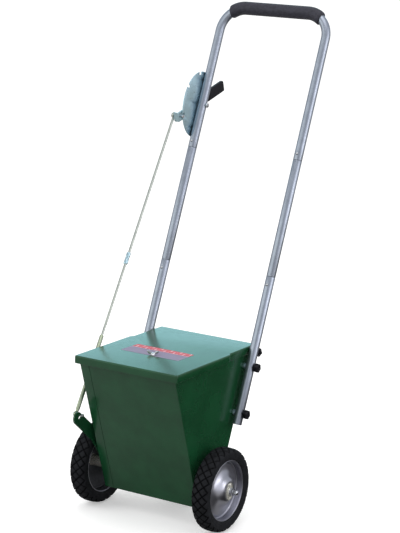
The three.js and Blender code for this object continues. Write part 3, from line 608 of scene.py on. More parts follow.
def mesh_of(name, shape, place, second_faces=()):
    points, faces = shape
    mesh = bpy.data.meshes.new(name)
    mesh.from_pydata([(place @ Vector(p)) * MM for p in points], [], faces)
    for i in second_faces:
        mesh.polygons[i].material_index = 1
    return mesh


def cut_away(piece, tools, place):
    """Cuts the tools' shapes out of the piece."""
    for tool in tools:
        mesh = mesh_of("cutter", tool, place)
        tidy(mesh, 30)
        cutter = bpy.data.objects.new("cutter", mesh)
        bpy.context.scene.collection.objects.link(cutter)
        step = piece.modifiers.new("cut", "BOOLEAN")
        step.operation, step.object, step.solver = "DIFFERENCE", cutter, "EXACT"
        graph = bpy.context.evaluated_depsgraph_get()
        left = bpy.data.meshes.new_from_object(piece.evaluated_get(graph))
        piece.modifiers.remove(step)
        old, piece.data = piece.data, left
        bpy.data.meshes.remove(old)
        bpy.data.objects.remove(cutter)
        bpy.data.meshes.remove(mesh)


def round_edges(piece, width, angle=40):
    step = piece.modifiers.new("rounded edges", "BEVEL")
    step.width, step.segments = width * MM, 2
    step.limit_method, step.angle_limit = "ANGLE", math.radians(angle)
    step.harden_normals = True
    step.miter_outer = "MITER_ARC"


def add_piece(name, shape, place, finish, body, replaces=(), sharp=35, edge=0, cuts=(), second=None):
    """Makes a piece in its place, with its finish, riding on its body and standing for its frame nodes.
    second is another finish and the numbers of the faces that have it."""
    mesh = mesh_of(name, shape, place, second[1] if second else ())
    tidy(mesh, sharp)
    piece = bpy.data.objects.new(name, mesh)
    bpy.context.scene.collection.objects.link(piece)
    if cuts:
        cut_away(piece, cuts, place)
        tidy(piece.data, sharp)
        piece.data.materials.clear()
    piece.data.materials.append(finish_of(finish))
    if second:
        piece.data.materials.append(finish_of(second[0]))
    if edge:
        round_edges(piece, edge)
    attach(piece, body)
    if replaces:
        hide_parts(*replaces)
    return piece


def keep_node(node, finish, edge=0):
    """Gives a frame node whose shape is right its finish."""
    piece = frame["nodes"][node]
    piece.data.materials.clear()
    piece.data.materials.append(finish_of(finish))
    if edge:
        round_edges(piece, edge)


# ---------------------------------------------------------------- hopper
HALF_WIDTH = 133.3
BOTTOM_Z = 54.3
TOP_Z = 402.2
FRONT_FOOT_Y = -34.1
REAR_FOOT_Y = 48.9
FRONT_SLOPE = 0.3363
REAR_SLOPE = math.tan(LEAN)
FLANGE_WIDTH = 26
SEAM = 0.45                                     # half of the seam between the left flange and the front
RETURN = 6                                      # sheet carried on round a folded corner
FROM_REAR = 500                                 # section depths beyond this count back from the rear wall
BUSH_HOLE = 12.5
STAND_HALF_WIDTH = 45
STAND_BEHIND = 1.9                              # middle of the stand's strap behind the rear wall


def front_y(z):
    return FRONT_FOOT_Y - FRONT_SLOPE * (z - BOTTOM_Z)


def rear_y(z):
    return REAR_FOOT_Y + REAR_SLOPE * (z - BOTTOM_Z)


def wall(section):
    """A hopper wall whose level section (x, depth behind the front or from the rear) follows both slopes."""
    front_stretch = math.hypot(1, FRONT_SLOPE)
    rear_stretch = math.hypot(1, REAR_SLOPE)
    rings = []
    for z in (BOTTOM_Z, TOP_Z):
        rings.append([
            (x, front_y(z) + depth * front_stretch if depth < FROM_REAR / 2
             else rear_y(z) - (FROM_REAR - depth) * rear_stretch, z) for x, depth in section])
    return skin(rings)


def sector(inner, outer, start, end, steps):
    """Outline in (Y, Z) of a ring sector round the axle, angles in degrees."""
    angles = turn(steps, math.radians(start), math.radians(end))
    centre = AXLE_AT.z
    out = [(outer * math.cos(a), centre + outer * math.sin(a)) for a in angles]
    back = [(inner * math.cos(a), centre + inner * math.sin(a)) for a in reversed(angles)]
    return out + back


def build_hopper():
    sheet = size_of("sheet")
    middle = HALF_WIDTH - sheet / 2
    bend = size_of("fold") - sheet / 2
    seam_x = -HALF_WIDTH + FLANGE_WIDTH
    front = strip_section([(seam_x + SEAM, sheet / 2), (middle, sheet / 2, bend), (middle, RETURN)], sheet)
    add_piece("front_panel_sheet", wall(front), ROW, "enamel", "hopper", ["front_panel"], edge=0.3)
    rear = strip_section([(-middle, FROM_REAR - RETURN), (-middle, FROM_REAR - sheet / 2, bend),
                          (middle, FROM_REAR - sheet / 2, bend), (middle, FROM_REAR - RETURN)], sheet)
    add_piece("rear_panel_sheet", wall(rear), ROW, "enamel", "hopper", ["rear_panel"], edge=0.3)
    left = strip_section([(seam_x - SEAM, sheet / 2), (-middle, sheet / 2, bend),
                          (-middle, FROM_REAR - RETURN - 0.2)], sheet)
    right = strip_section([(middle, RETURN + 0.2), (middle, FROM_REAR - RETURN - 0.2)], sheet)
    gate_way = sector(49.7, 52.3, 238.7, 318.8, 24)
    for (side, sign), section in zip(SIDES, (left, right)):
        bush_hole = circle(BUSH_HOLE, (0, AXLE_AT.z), 32)
        cuts = [moved(prism(outline, HALF_WIDTH - 4, HALF_WIDTH + 4), mirror(sign) @ FACE_X)
                for outline in (bush_hole, gate_way)]
        add_piece(f"side_panel_{side}_sheet", wall(section), ROW, "enamel", "hopper", [f"side_panel_{side}"],
                  edge=0.3, cuts=cuts)
    keep_node("trough", "enamel")
    keep_node("lid_strap", "zinc", 0.4)
    stand = strip_section([(rear_y(205) + STAND_BEHIND, 205), (rear_y(150) + STAND_BEHIND, 150, 8),
                           (135.4, 1.6, 9), (174, 1.6)], 3, 6)
    strap = moved(prism(stand, -STAND_HALF_WIDTH, STAND_HALF_WIDTH), FACE_X)
    add_piece("rear_stand_strap", strap, ROW, "enamel", "hopper", ["rear_stand"], edge=0.5)


# ---------------------------------------------------------------- lid
LID_Z = 404
LID_SKIRT = 18.5
LID_FRONT_Y = -153.7
LID_BACK_Y = 203.1
LID_HALF_WIDTH = 143.1                          # in front of the step in its sides
LID_HALF_BACK = 137.2                           # behind the step
WING_SCREW_Y = -38


def lid_ring(inset, z):
    wide, narrow = LID_HALF_WIDTH - inset, LID_HALF_BACK - inset
    front, back = LID_FRONT_Y + inset, LID_BACK_Y - inset
    corner = max(5 - inset, 1.2)
    half = [(wide, front, corner), (wide, 72, 9), (narrow, 84, 9), (narrow, back, corner)]
    outline = rounded(half + [(-x, y, r) for x, y, r in reversed(half)], 5)
    return [(x, y, z) for x, y in outline]


def build_lid():
    sheet = size_of("sheet")
    fold = size_of("fold")
    hem = LID_Z - LID_SKIRT
    rings = [lid_ring(fold * (1 - math.sin(a)), LID_Z - fold * (1 - math.cos(a)))
             for a in turn(6, 0.0, math.pi / 2)]
    rings += [lid_ring(0, hem + 0.7), lid_ring(0.25, hem + 0.2), lid_ring(0.75, hem),
              lid_ring(1.25, hem + 0.2), lid_ring(sheet, hem + 0.7), lid_ring(sheet, LID_Z - fold),
              lid_ring(fold, LID_Z - sheet)]
    add_piece("lid_sheet", skin(rings), ROW, "enamel", "lid", ["lid"], sharp=50)

    label = [(-84, 22.8), (-87.8, -44.6), (75, -45.8), (75.5, 21.9)]
    face = rounded([(x, y, 3) for x, y in label], 4)
    film = add_piece("lid_label", prism(face, LID_Z + 0.02, LID_Z + 0.2), ROW, "label", "lid")
    film.data.polygons.foreach_set("use_smooth", [False] * len(film.data.polygons))

    stud = moved(bar(3, 376, LID_Z + 2, segments=24), ALONG_Z)
    boss = [(7.3, 0.3), (7.5, 0.6), (7.5, 1.6), (6.9, 2.1), (5.2, 3), (4.5, 5.3), (3.7, 6.1), (2, 6.5)]
    body = moved(turned(boss), Matrix.Translation((0, 0, LID_Z)) @ ALONG_Z)
    ear = rounded([(2.4, 1.2, 1), (10, 2.6, 4), (15, 8, 3.4), (12.4, 12.4, 3), (7.6, 9.6, 4),
                   (2.4, 5.4, 1)], 5)
    blades = []
    for spin in (0, math.pi):
        upright = Matrix.Rotation(spin + math.radians(25), 4, "Z") @ Matrix.Rotation(math.pi / 2, 4, "X")
        blades.append(moved(plate(ear, -1.3, 1.3, edge=0.9), Matrix.Translation((0, 0, LID_Z)) @ upright))
    add_piece("wing_screw_bright", merged(stud, body, *blades),
              ROW @ Matrix.Translation((0, WING_SCREW_Y, 0)), "bright", "lid_screw", ["lid_wing_screw"])


# ---------------------------------------------------------------- wheels and axle
WHEEL_X = 173.2
HUB_END_X = 201
TYRE_RADIUS = 100
SIDE_RINGS = (78.6, 83.8)                       # radii of the two raised rings on a tyre's side wall
AXLE_RADIUS = 6.35


def tyre_shape():
    """Tyre with diamond blocks over the crown and shoulders and a smooth side wall, and its groove faces."""
    half = smooth_line([(72.4, 16.4), (73.6, 18.4), (76.5, 19.8), (80, 20.8), (86, 21.6)], 7)[:-1]
    half += smooth_line([(86, 21.6), (91, 21.4), (95.2, 19.4), (98, 15.8), (99.4, 10.5), (99.9, 5),
                         (TYRE_RADIUS, 0)], 6)
    profile = half + [(r, -x) for r, x in reversed(half[:-1])]
    across = [0.0]
    for (r0, x0), (r1, x1) in zip(profile, profile[1:]):
        across.append(across[-1] + math.hypot(r1 - r0, x1 - x0))
    middle = across[-1] / 2
    block = size_of("tread_block")
    groove = size_of("tread_groove")
    depth = size_of("tread_depth")
    around = 2 * math.pi * TYRE_RADIUS
    blocks = round(around / block)
    segments = 14 * blocks
    rings, grooves = [], []
    for (radius, x), at in zip(profile, across):
        off = at - middle
        fade = max(0.0, min(1.0, (24.5 - abs(off)) / 2.5))
        ridge = sum(0.6 * max(0.0, 1 - abs(radius - ring_at) / 1.3) for ring_at in SIDE_RINGS)
        ridge *= abs(x) > 15
        ring = []
        for i in range(segments):
            along = i * blocks / segments
            cross = off * blocks / around
            sink = 0.0
            for line in (along + cross, along - cross):
                near = abs(line - round(line)) / blocks * around / math.sqrt(2)
                sink = max(sink, min(1.0, max(0.0, (groove / 2 + 0.4 - near) / 0.8)))
            if sink * fade > 0.45:
                grooves.append(len(rings) * segments + i)
            r = radius - depth * sink * fade
            a = 2 * math.pi * i / segments
            side = x + math.copysign(ridge, x) - math.copysign(0.9 * sink * fade * min(1, abs(x) / 20), x)
            ring.append((side, r * math.cos(a), r * math.sin(a)))
        rings.append(ring)
    inner = [(72.0, -15.6), (71.9, -13.6), (71.9, 13.6), (72.0, 15.6)]
    for radius, x in inner:
        rings.append([(x, radius * math.cos(a), radius * math.sin(a)) for a in turn(segments)])
    return skin(rings, closed=True), grooves


def rim_shape():
    """Pressed rim: rolled lips, a crease inside the barrel and a disc that swells out to the hub."""
    face = smooth_line([(14.3, 23.4), (20, 23.3), (25, 22.2), (31, 18), (38, 11.5), (46, 7), (55, 4.9),
                        (60.5, 4.2), (63, 2.4), (65, -0.2), (67.4, -0.6), (69.3, 1.4), (70.2, 5)], 4)
    back = [(max(14.3, r - 0.3), x - 1.4) for r, x in face]
    barrel = [(70.0, 13.2), (69.9, 15.2)]
    lip = [(71.55 + 1.25 * math.cos(a), 16.6 + 1.25 * math.sin(a))
           for a in turn(10, math.radians(205), math.radians(-20))]
    outer_seat = [(72.7, 15.9), (71.7, 14), (71.5, 12)]
    far = [(r, -x) for r, x in reversed(outer_seat)]
    far_lip = [(r, -x) for r, x in reversed(lip)]
    far_barrel = [(r - 0.2, -x) for r, x in reversed(barrel)]
    inside = [(69.8, -4)]
    outward = face + barrel + lip + outer_seat + far + far_lip
    profile = outward + far_barrel + inside + list(reversed(back))
    segments = 96
    inner_side = range(len(outward) * segments, (len(profile) - 1) * segments)
    return turned(profile, segments, closed=True), list(inner_side)


def nut_shape(across, start, end, bore, turn_by=0.0):
    """Chamfered hexagon nut along X, across its corners."""
    hexagon = circle(across, steps=6, start=turn_by)
    return plate_x(hexagon, start, end, [circle(bore, steps=24)], edge=min(0.9, (end - start) / 5))


def build_wheels():
    for side, sign in SIDES:
        body = "drive_axle" if sign < 0 else "right_wheel"
        out = mirror(sign)
        wheel = AXLE @ Matrix.Translation((sign * WHEEL_X, 0, 0)) @ out
        tyre, grooves = tyre_shape()
        # the groove bottoms of the tread take a painted shade
        add_piece(f"tyre_{side}_tread", tyre, wheel, "rubber", body, [f"tyre_{side}"], sharp=50,
                  second=("groove", grooves))
        rim, inner_side = rim_shape()
        # the inner side of the rim takes the dark painted shade
        add_piece(f"rim_{side}_disc", rim, wheel, "rim", body, [f"rim_{side}"], sharp=60,
                  second=("rim_back", inner_side))
        flange_x = WHEEL_X + 23.7
        barrel = turned([(6.5, 148.3), (12.4, 148.3), (13, 149), (13, 198.9), (9.4, 199), (9, 199.6),
                         (8.6, HUB_END_X), (6.5, HUB_END_X)], 48, closed=True)
        lobes = rounded([(-20.4, -7, 6.8), (-20.4, 7, 6.8), (-9, 12.6, 8), (9, 12.6, 8),
                         (20.4, 7, 6.8), (20.4, -7, 6.8), (9, -12.6, 8), (-9, -12.6, 8)], 6)
        upright = [(b, a) for a, b in lobes]
        flange = plate_x(upright, flange_x, flange_x + 2, [circle(12.8, steps=32)], edge=0.5)
        dome = [(0.01, flange_x + 4), (1.4, flange_x + 3.8), (2.6, flange_x + 3.1), (3.2, flange_x + 1.9),
                (3.2, flange_x - 1)]
        rivets = [moved(turned(dome, 20), Matrix.Translation((0, 0, z))) for z in (-16.2, 16.2)]
        add_piece(f"hub_{side}_flanged", merged(barrel, flange, *rivets), AXLE @ out, "hub", body,
                  [f"hub_{side}"])
        washer = collar(6.6, 10, HUB_END_X + 0.3, HUB_END_X + 2, 0.3, 48)
        hexagon = nut_shape(9.2, HUB_END_X + 2, HUB_END_X + 9, 6.5)
        add_piece(f"axle_nut_{side}_hexagon", merged(washer, hexagon), AXLE @ out, "bright", "drive_axle",
                  [f"axle_nut_{side}"])
        bush = turned([(6.5, 128), (17.4, 128), (18, 128.6), (18, 131.5), (12.2, 131.5), (12.2, 146.9),
                       (11.6, 147.5), (6.5, 147.5)], 48, closed=True)
        add_piece(f"axle_bush_{side}_moulded", bush, AXLE @ out, "plastic", "hopper", [f"axle_bush_{side}"])


def build_axle():
    end = box_mm("axle")[1].x
    shaft = domed_bar(AXLE_RADIUS, -end, end, 40, 0.62)
    add_piece("axle_bright", shaft, AXLE, "bright", "drive_axle", ["axle"])
    pin_low, pin_high = box_mm("drive_pin")
    pin_at = AXLE @ Matrix.Translation(((pin_low.x + pin_high.x) / 2, 0, 0))
    pin = moved(domed_bar(2.5, -18, 18, 20, 0.5), ALONG_Z)
    add_piece("drive_pin_bright", pin, pin_at, "bright", "drive_axle", ["drive_pin"])
    sleeve = collar(6.7, 10.1, -115.8, 115.8, 0.6, 40)
    fingers = []
    for i in range(6):
        finger = moved(domed_bar(3, -40.5, 40.5, 20, 0.8), ALONG_Z)
        swing = Matrix.Rotation(math.radians(i * 60 + 10), 4, "X")
        fingers.append(moved(finger, Matrix.Translation(((i - 2.5) * 36, 0, 0)) @ swing))
    add_piece("agitator_welded", merged(sleeve, *fingers), AXLE, "zinc", "drive_axle", ["agitator"])


# ---------------------------------------------------------------- handle
TUBE_WALL = 1.5
BUTTONS = (LOWER_JOINT - 21, UPPER_JOINT + 15.5)
SIDE_BOLTS = (27.5, 141)
REAR_KNOB_UP = 180
REAR_HOLE_UP = 258                              # spare hole in the back of a lower tube
BEND_RADIUS = 62
GRIP_BEND = 39                                  # degrees of each corner that the grip covers


def tube(start, end, outer, inner, segments=48):
    """A straight open tube along Z with its mouths rounded over."""
    lip = (outer - inner) / 2
    profile = []
    for at, way in ((start, 1), (end, -1)):
        arc = [(inner + lip + lip * math.cos(a), at + way * lip * (1 - math.sin(a)))
               for a in turn(5, 0.0, math.pi)]
        profile += arc[::-1] if way > 0 else arc
    return moved(turned(profile, segments, closed=True), ALONG_Z)


def handle_line(bend, leg_from=None, steps=24):
    """Middle line (x, z) and its heading over the handle's top, from bend degrees into one corner."""
    corner = TUBE_X - BEND_RADIUS
    level = HANDLE_TOP - BEND_RADIUS
    arc = []
    for a in turn(steps, math.radians(bend), math.pi / 2):
        arc.append((corner + BEND_RADIUS * math.cos(a), level + BEND_RADIUS * math.sin(a), a + math.pi / 2))
    if leg_from is not None:
        legs = [(TUBE_X, z, math.pi / 2) for z in turn(12, leg_from, level - 4)]
        arc = legs + arc
    top = [(x, HANDLE_TOP, math.pi) for x in turn(14, corner - 6, 6 - corner)]
    other = [(-x, z, 2 * math.pi - heading) for x, z, heading in reversed(arc)]
    return arc + top + other


def swept(line, radii, segments=48):
    """Rings round a line in the handle's plane."""
    rings = []
    for (x, z, heading), radius in zip(line, radii):
        side = Vector((math.sin(heading), 0, -math.cos(heading)))
        at = Vector((x, 0, z))
        rings.append([at + side * radius * math.cos(a) + Vector((0, radius * math.sin(a), 0))
                      for a in turn(segments)])
    return rings


def button_hole(up, x=0):
    """Cutter for a snap button's hole, through one wall of a tube."""
    return moved(bar(3.7, -14, -2, 0.01, 24), Matrix.Translation((x, 0, up)) @ ALONG_Y)


def build_tubes():
    bore = TUBE_RADIUS - TUBE_WALL
    for side, sign in SIDES:
        leg = HANDLE @ Matrix.Translation((sign * TUBE_X, 0, 0))
        holes = [button_hole(BUTTONS[0]),
                 moved(bar(2.6, 2, 14, 0.01, 24), Matrix.Translation((0, 0, REAR_HOLE_UP)) @ ALONG_Y)]
        add_piece(f"lower_tube_{side}_satin", tube(0, LOWER_JOINT, TUBE_RADIUS, bore), leg, "tube", "hopper",
                  [f"lower_tube_{side}"], cuts=holes)
        start, neck = LOWER_JOINT + 0.3, bore - 0.5
        shoulder = [(neck - 1.4, LOWER_JOINT - 40), (neck, LOWER_JOINT - 40), (neck, start - 0.2),
                    (TUBE_RADIUS - 1, start), (TUBE_RADIUS - 0.3, start + 0.3), (TUBE_RADIUS, start + 1)]
        far = [(r, LOWER_JOINT + UPPER_JOINT - z) for r, z in reversed(shoulder)]
        middle = moved(turned(shoulder + far, 48, closed=True), ALONG_Z)
        holes = [button_hole(up) for up in BUTTONS]
        add_piece(f"middle_tube_{side}_satin", middle, leg, "tube", "hopper", [f"middle_tube_{side}"],
                  cuts=holes)
        for level, up in zip(LEVELS, BUTTONS):
            button = [(0.01, 13.3), (1.5, 13.1), (2.7, 12.4), (3.3, 11.2), (3.4, 10), (3.4, 5.2), (4.6, 5),
                      (4.6, 3.8), (0.01, 3.7)]
            shape = moved(turned([(r, -y) for r, y in button], 24), ALONG_Y)
            name = f"snap_button_{level}_{side}"
            add_piece(f"{name}_dome", shape, leg @ Matrix.Translation((0, 0, up)), "bright", name, [name])
    line = handle_line(0, UPPER_JOINT + 0.9)
    line[0:0] = [(TUBE_X, UPPER_JOINT, math.pi / 2), (TUBE_X, UPPER_JOINT + 0.25, math.pi / 2)]
    line += [(-x, z, 2 * math.pi - heading) for x, z, heading in reversed(line[:2])]
    outer = [TUBE_RADIUS] * len(line)
    outer[0] = outer[-1] = TUBE_RADIUS - 0.75
    outer[1] = outer[-2] = TUBE_RADIUS - 0.2
    inner = [bore] * len(line)
    rings = swept(line, outer) + swept(line, inner)[::-1]
    holes = [button_hole(BUTTONS[1], sign * TUBE_X) for _, sign in SIDES]
    add_piece("upper_handle_satin", skin(rings, closed=True), HANDLE, "tube", "hopper", ["upper_handle"],
              cuts=holes)


def build_grip():
    grip_radius = size_of("grip_radius")
    line = handle_line(90 - GRIP_BEND, steps=16)
    count = len(line)
    for i in range(7):                               # the sleeve is cut nearly square to the top bar
        turn_in = (1 - i / 7) * 0.5
        x, z, heading = line[i]
        line[i] = (x, z, heading + (math.pi - heading) * turn_in)
        x, z, heading = line[-1 - i]
        line[-1 - i] = (x, z, heading + (math.pi - heading) * turn_in)
    radii = []
    for i in range(count):
        inward = min(i, count - 1 - i)
        radii.append(grip_radius - 2.6 * max(0.0, 1 - inward / 1.6) ** 2)
    inside = [TUBE_RADIUS + 0.1] * count
    sleeve = skin(swept(line, radii) + swept(line, inside)[::-1], closed=True)
    foam = add_piece("handle_grip_foam", sleeve, HANDLE, "foam", "hopper", ["handle_grip"], sharp=75)


# ---------------------------------------------------------------- knobs, bolts and spacers
def knob_shape(start):
    """Six-lobed moulded knob standing out along X from start, on a plain boss."""
    radius = size_of("knob_radius")
    lobe = radius * 0.075
    mean = radius - lobe
    profile = [(3.15, start), (6.4, start), (7, start + 0.5), (7.2, start + 2.4),
               (mean - 2.6, start + 3, lobe * 0.3), (mean - 0.8, start + 3.6, lobe * 0.8),
               (mean, start + 4.8, lobe), (mean, start + 10.4, lobe), (mean - 0.5, start + 11.7, lobe * 0.9),
               (mean - 1.8, start + 12.7, lobe * 0.6), (mean - 3.6, start + 13, lobe * 0.2),
               (6, start + 12.9), (5.4, start + 12.2), (3.15, start + 12)]
    return turned(profile, 72, lobes=6)


def build_knobs():
    knob_x = TUBE_X + TUBE_RADIUS + 0.3
    for side, sign in SIDES:
        out = mirror(sign)
        for level, up in zip(LEVELS, SIDE_BOLTS):
            at = HANDLE @ Matrix.Translation((0, 0, up)) @ out
            name = f"side_knob_{level}_{side}"
            add_piece(f"{name}_lobed", knob_shape(knob_x), at, "plastic", name, [name])
            shank = bar(3, 129.8, knob_x + 9, segments=24)
            head = bar(7, 128.5, 131.5, 0.6, 32)
            add_piece(f"side_bolt_{level}_{side}_round", merged(shank, head), at, "bright", "hopper",
                      [f"side_bolt_{level}_{side}"])
            spacer = collar(3.3, 7, 133.6, 139.6, 0.5)
            add_piece(f"spacer_{level}_{side}_turned", spacer, at, "zinc", "hopper",
                      [f"spacer_{level}_{side}"])
        at = HANDLE @ Matrix.Translation((sign * TUBE_X, 0, REAR_KNOB_UP)) @ ALONG_Y
        stud = bar(3, -10, TUBE_RADIUS + 1, segments=24)
        name = f"rear_knob_{side}"
        add_piece(f"{name}_lobed", merged(knob_shape(TUBE_RADIUS + 0.3), stud), at, "plastic", name, [name])


# ---------------------------------------------------------------- quadrant and hand lever
PLATE_X = -164.4
LEVER_X = (-168.6, -165.6)


def quadrant_outline():
    bulge, length, notch, deep = 69.5, 84, 4, 8

    def reach(a):
        return 1 / math.hypot(math.cos(a) / bulge, math.sin(a) / length)

    points = [(9.1, -length, 3), (0, -length, 0)]
    angle = math.radians(-88)
    for centre in [math.radians(a) for a in (-38, 26, 72)]:
        half = math.asin(notch / reach(centre))
        while angle < centre - half - 0.03:
            points.append((-reach(angle) * math.cos(angle), reach(angle) * math.sin(angle), 0))
            angle += math.radians(4)
        way = Vector((-math.cos(centre), math.sin(centre)))
        across = Vector((math.sin(centre), math.cos(centre)))
        rim, root = reach(centre), reach(centre) - deep
        for at, side, radius in ((rim, -notch, 1.2), (root, -notch, 2), (root, notch, 2), (rim, notch, 1.2)):
            spot = way * at + across * side
            points.append((spot.x, spot.y, radius))
        angle = centre + half + 0.05
    while angle < math.radians(88):
        points.append((-reach(angle) * math.cos(angle), reach(angle) * math.sin(angle), 0))
        angle += math.radians(4)
    points += [(0, length, 0), (9.1, length, 3)]
    return rounded(points, 3)


def build_quadrant():
    holes = [circle(3.3), circle(2.6, (2, 62)), circle(2.6, (2, -62))]
    disc = plate_x(quadrant_outline(), PLATE_X, PLATE_X + 2, holes, edge=0.5)
    fold = rounded([(-11.5, -80, 2), (-8.5, -80, 2), (-8.5, 80, 2), (-11.5, 80, 2)], 3)
    rib = moved(prism(fold, -1.2, 0.4), Matrix.Translation((PLATE_X, 0, 0)) @ FACE_X)
    add_piece("quadrant_plate_pressed", merged(disc, rib), QUADRANT, "zinc", "hopper", ["quadrant_plate"])
    head = nut_shape(7, -172.9, -168.95, 1.0, 0.3)
    shank = bar(3, -171, -133, segments=24)
    add_piece("lever_pivot_bolt_hexagon", merged(head, shank), QUADRANT, "bright", "hopper",
              ["lever_pivot_bolt"])
    nut = nut_shape(6.2, -139.6, -134.6, 3.2, 0.2)
    add_piece("lever_pivot_nut_hexagon", nut, QUADRANT, "bright", "hopper", ["lever_pivot_nut"])


def build_lever():
    half = 12
    blade = rounded([(-88, -half, 2), (-70, -half, 10), (-14, -9, 14), (112, -9, 1),
                     (112, 9, 1), (-14, 9, 14), (-70, half, 10), (-88, half, 2)], 5)
    bladed = plate_x(blade, *LEVER_X, [circle(3.2), circle(3.35, (-LEVER_PIN, 0))], edge=0.5)
    tab = rounded([(-179.6, -half, 3), (-165.7, -half, 1), (-165.7, half, 1), (-179.6, half, 3)], 4)
    flange = moved(plate(tab, -88.9, -86, edge=0.6), FACE_Y)
    add_piece("lever_pressed", merged(bladed, flange), LEVER, "zinc", "hand_lever", ["lever"])
    rings = []
    stations = [(44, 3.9, 11), (44.5, 5, 13), (46, 5.4, 13.6), (60, 5.5, 13.8), (90, 5.5, 13.9),
                (116, 5.5, 13.9), (121.5, 5.5, 13.8), (123, 5.2, 13.3), (123.8, 4.4, 12.3), (124, 3.2, 11)]
    raised = 3                                       # grip's middle above the strip's
    middle_x = sum(LEVER_X) / 2
    for y, thick, tall in stations:
        ring = []
        for a in turn(36):
            c, s = math.cos(a), math.sin(a)
            ring.append((middle_x + thick * math.copysign(abs(c) ** 0.45, c), y,
                         raised + tall * math.copysign(abs(s) ** 0.3, s)))
        rings.append(ring)
    add_piece("lever_grip_moulded", skin(rings), LEVER, "plastic", "hand_lever", ["lever_grip"], sharp=50)
    top = Matrix.Translation((0, ROD_TOP.y, ROD_TOP.z))
    pin = merged(bar(3.2, -193, -158, 0.6, 28), bar(4.2, -160, -157, 0.7, 28))
    add_piece("lever_pin_bright", pin, top, "bright", "hand_lever", ["lever_pin"])
    add_piece("lever_pin_clip_ring", collar(3.5, 5.8, -191.4, -189.6, 0.6, 28), top, "bright", "hand_lever",
              ["lever_pin_clip"])


# ---------------------------------------------------------------- control rod and gate
def build_rod():
    middle, half = ROD_SPAN * 0.492, 15
    sleeve_from = ROD_SPAN * 0.745
    eye = collar(3.35, 8, -2.5, 2.5, 0.8, 40)
    square = DOWN_ROD.inverted()
    upper = moved(bar(3, 6, middle - 1, 0.5, 28), ALONG_Z)
    add_piece("rod_upper_plated", merged(moved(eye, square), upper), ROD, "rod", "control_rod", ["rod_upper"])
    thread = []
    for i in range(12):
        at = sleeve_from - 26 + i * 2
        thread += [(3, at), (2.7, at + 1)]
    lower = turned([(2.5, middle + 1), (3, middle + 1.5), *thread, (3, sleeve_from), (4.8, sleeve_from + 2.6),
                    (4.8, ROD_SPAN - 14), (3.6, ROD_SPAN - 9), (3, ROD_SPAN - 6)], 28)
    foot = moved(eye, Matrix.Translation((0, 0, ROD_SPAN)) @ square)
    shape = merged(foot, moved(lower, ALONG_Z))
    points, faces = shape
    sleeved = [i for i, face in enumerate(faces) if sum(points[j][2] for j in face) / len(face) > sleeve_from]
    add_piece("rod_lower_sleeved", shape, ROD, "rod", "control_rod", ["rod_lower"],
              second=("sleeve", sleeved))
    nut = turned([(3.3, middle - half), (4.4, middle - half), (5.2, middle - half + 2), (5.2, middle - 5),
                  (4.7, middle - 4), (4.7, middle + 4), (5.2, middle + 5), (5.2, middle + half - 2),
                  (4.4, middle + half), (3.3, middle + half)], 32, closed=True)
    add_piece("rod_coupling_turned", moved(nut, ALONG_Z), ROD, "zinc", "control_rod", ["rod_coupling"])
    at = Matrix.Translation((0, ROD_FOOT.y, ROD_FOOT.z))
    pin = merged(bar(3.2, -165, -138, 0.6, 28), bar(4.2, -140.5, -137.5, 0.7, 28))
    add_piece("gate_pin_bright", pin, at, "bright", "control_rod", ["gate_pin"])
    add_piece("gate_pin_clip_ring", collar(3.5, 5.8, -163.4, -161.6, 0.6, 28), at, "zinc", "control_rod",
              ["gate_pin_clip"])


def build_gate():
    keep_node("gate_shutter", "enamel")
    keep_node("gate_arm_left", "enamel", 0.5)


# ---------------------------------------------------------------- stage
CAMERA_AT = (2.3363, -3.7296, 1.54964)           # metres, row frame
CAMERA_TURN = (32.2265, 12.1822, 1.6159)          # degrees: azimuth, elevation, roll
LENS = 126.244
SHIFT = (0.00099, -0.01591)
FLOOR_RADIUS = 60                                # metres, as is the next one
FLOOR_Z = -0.0005


def add_light(name, at, aim, size, power):
    data = bpy.data.lights.new(name, "AREA")
    data.shape, data.size, data.size_y = "RECTANGLE", size[0], size[1]
    data.energy = power
    light = bpy.data.objects.new(name, data)
    bpy.context.scene.collection.objects.link(light)
    light.location = at
    light.rotation_mode = "QUATERNION"
    light.rotation_quaternion = (Vector(aim) - Vector(at)).to_track_quat("-Z", "Y")
    return light


def build_floor():
    # Seamless paper: an even matt white with the faintest mottle. It shows pale, and lights the object as a
    # grey studio floor would.
    floor_mesh = bpy.data.meshes.new("studio_floor")
    rim = [(FLOOR_RADIUS * math.cos(a), FLOOR_RADIUS * math.sin(a), FLOOR_Z) for a in turn(64)]
    floor_mesh.from_pydata(rim, [], [tuple(range(64))])
    floor = bpy.data.objects.new("studio_floor", floor_mesh)
    bpy.context.scene.collection.objects.link(floor)
    paper, tree, shader = new_finish("paper_seamless_white", {
        "Roughness": 0.9, "Specular IOR Level": 0.1,
        "Emission Color": (1, 1, 1, 1), "Emission Strength": 0.35})
    tint(tree, shader, grain(tree, 300), colour_of("floor", 0.98), colour_of("floor"))
    grey = add_node(tree, "ShaderNodeBsdfDiffuse", {"Color": (0.42, 0.42, 0.42, 1)})
    both = add_node(tree, "ShaderNodeMixShader", {
        "Fac": add_node(tree, "ShaderNodeLightPath").outputs["Is Camera Ray"],
        1: grey.outputs["BSDF"], 2: shader.outputs["BSDF"]})
    output = next(n for n in tree.nodes if n.bl_idname == "ShaderNodeOutputMaterial")
    tree.links.new(both.outputs["Shader"], output.inputs["Surface"])
    floor_mesh.materials.append(paper)


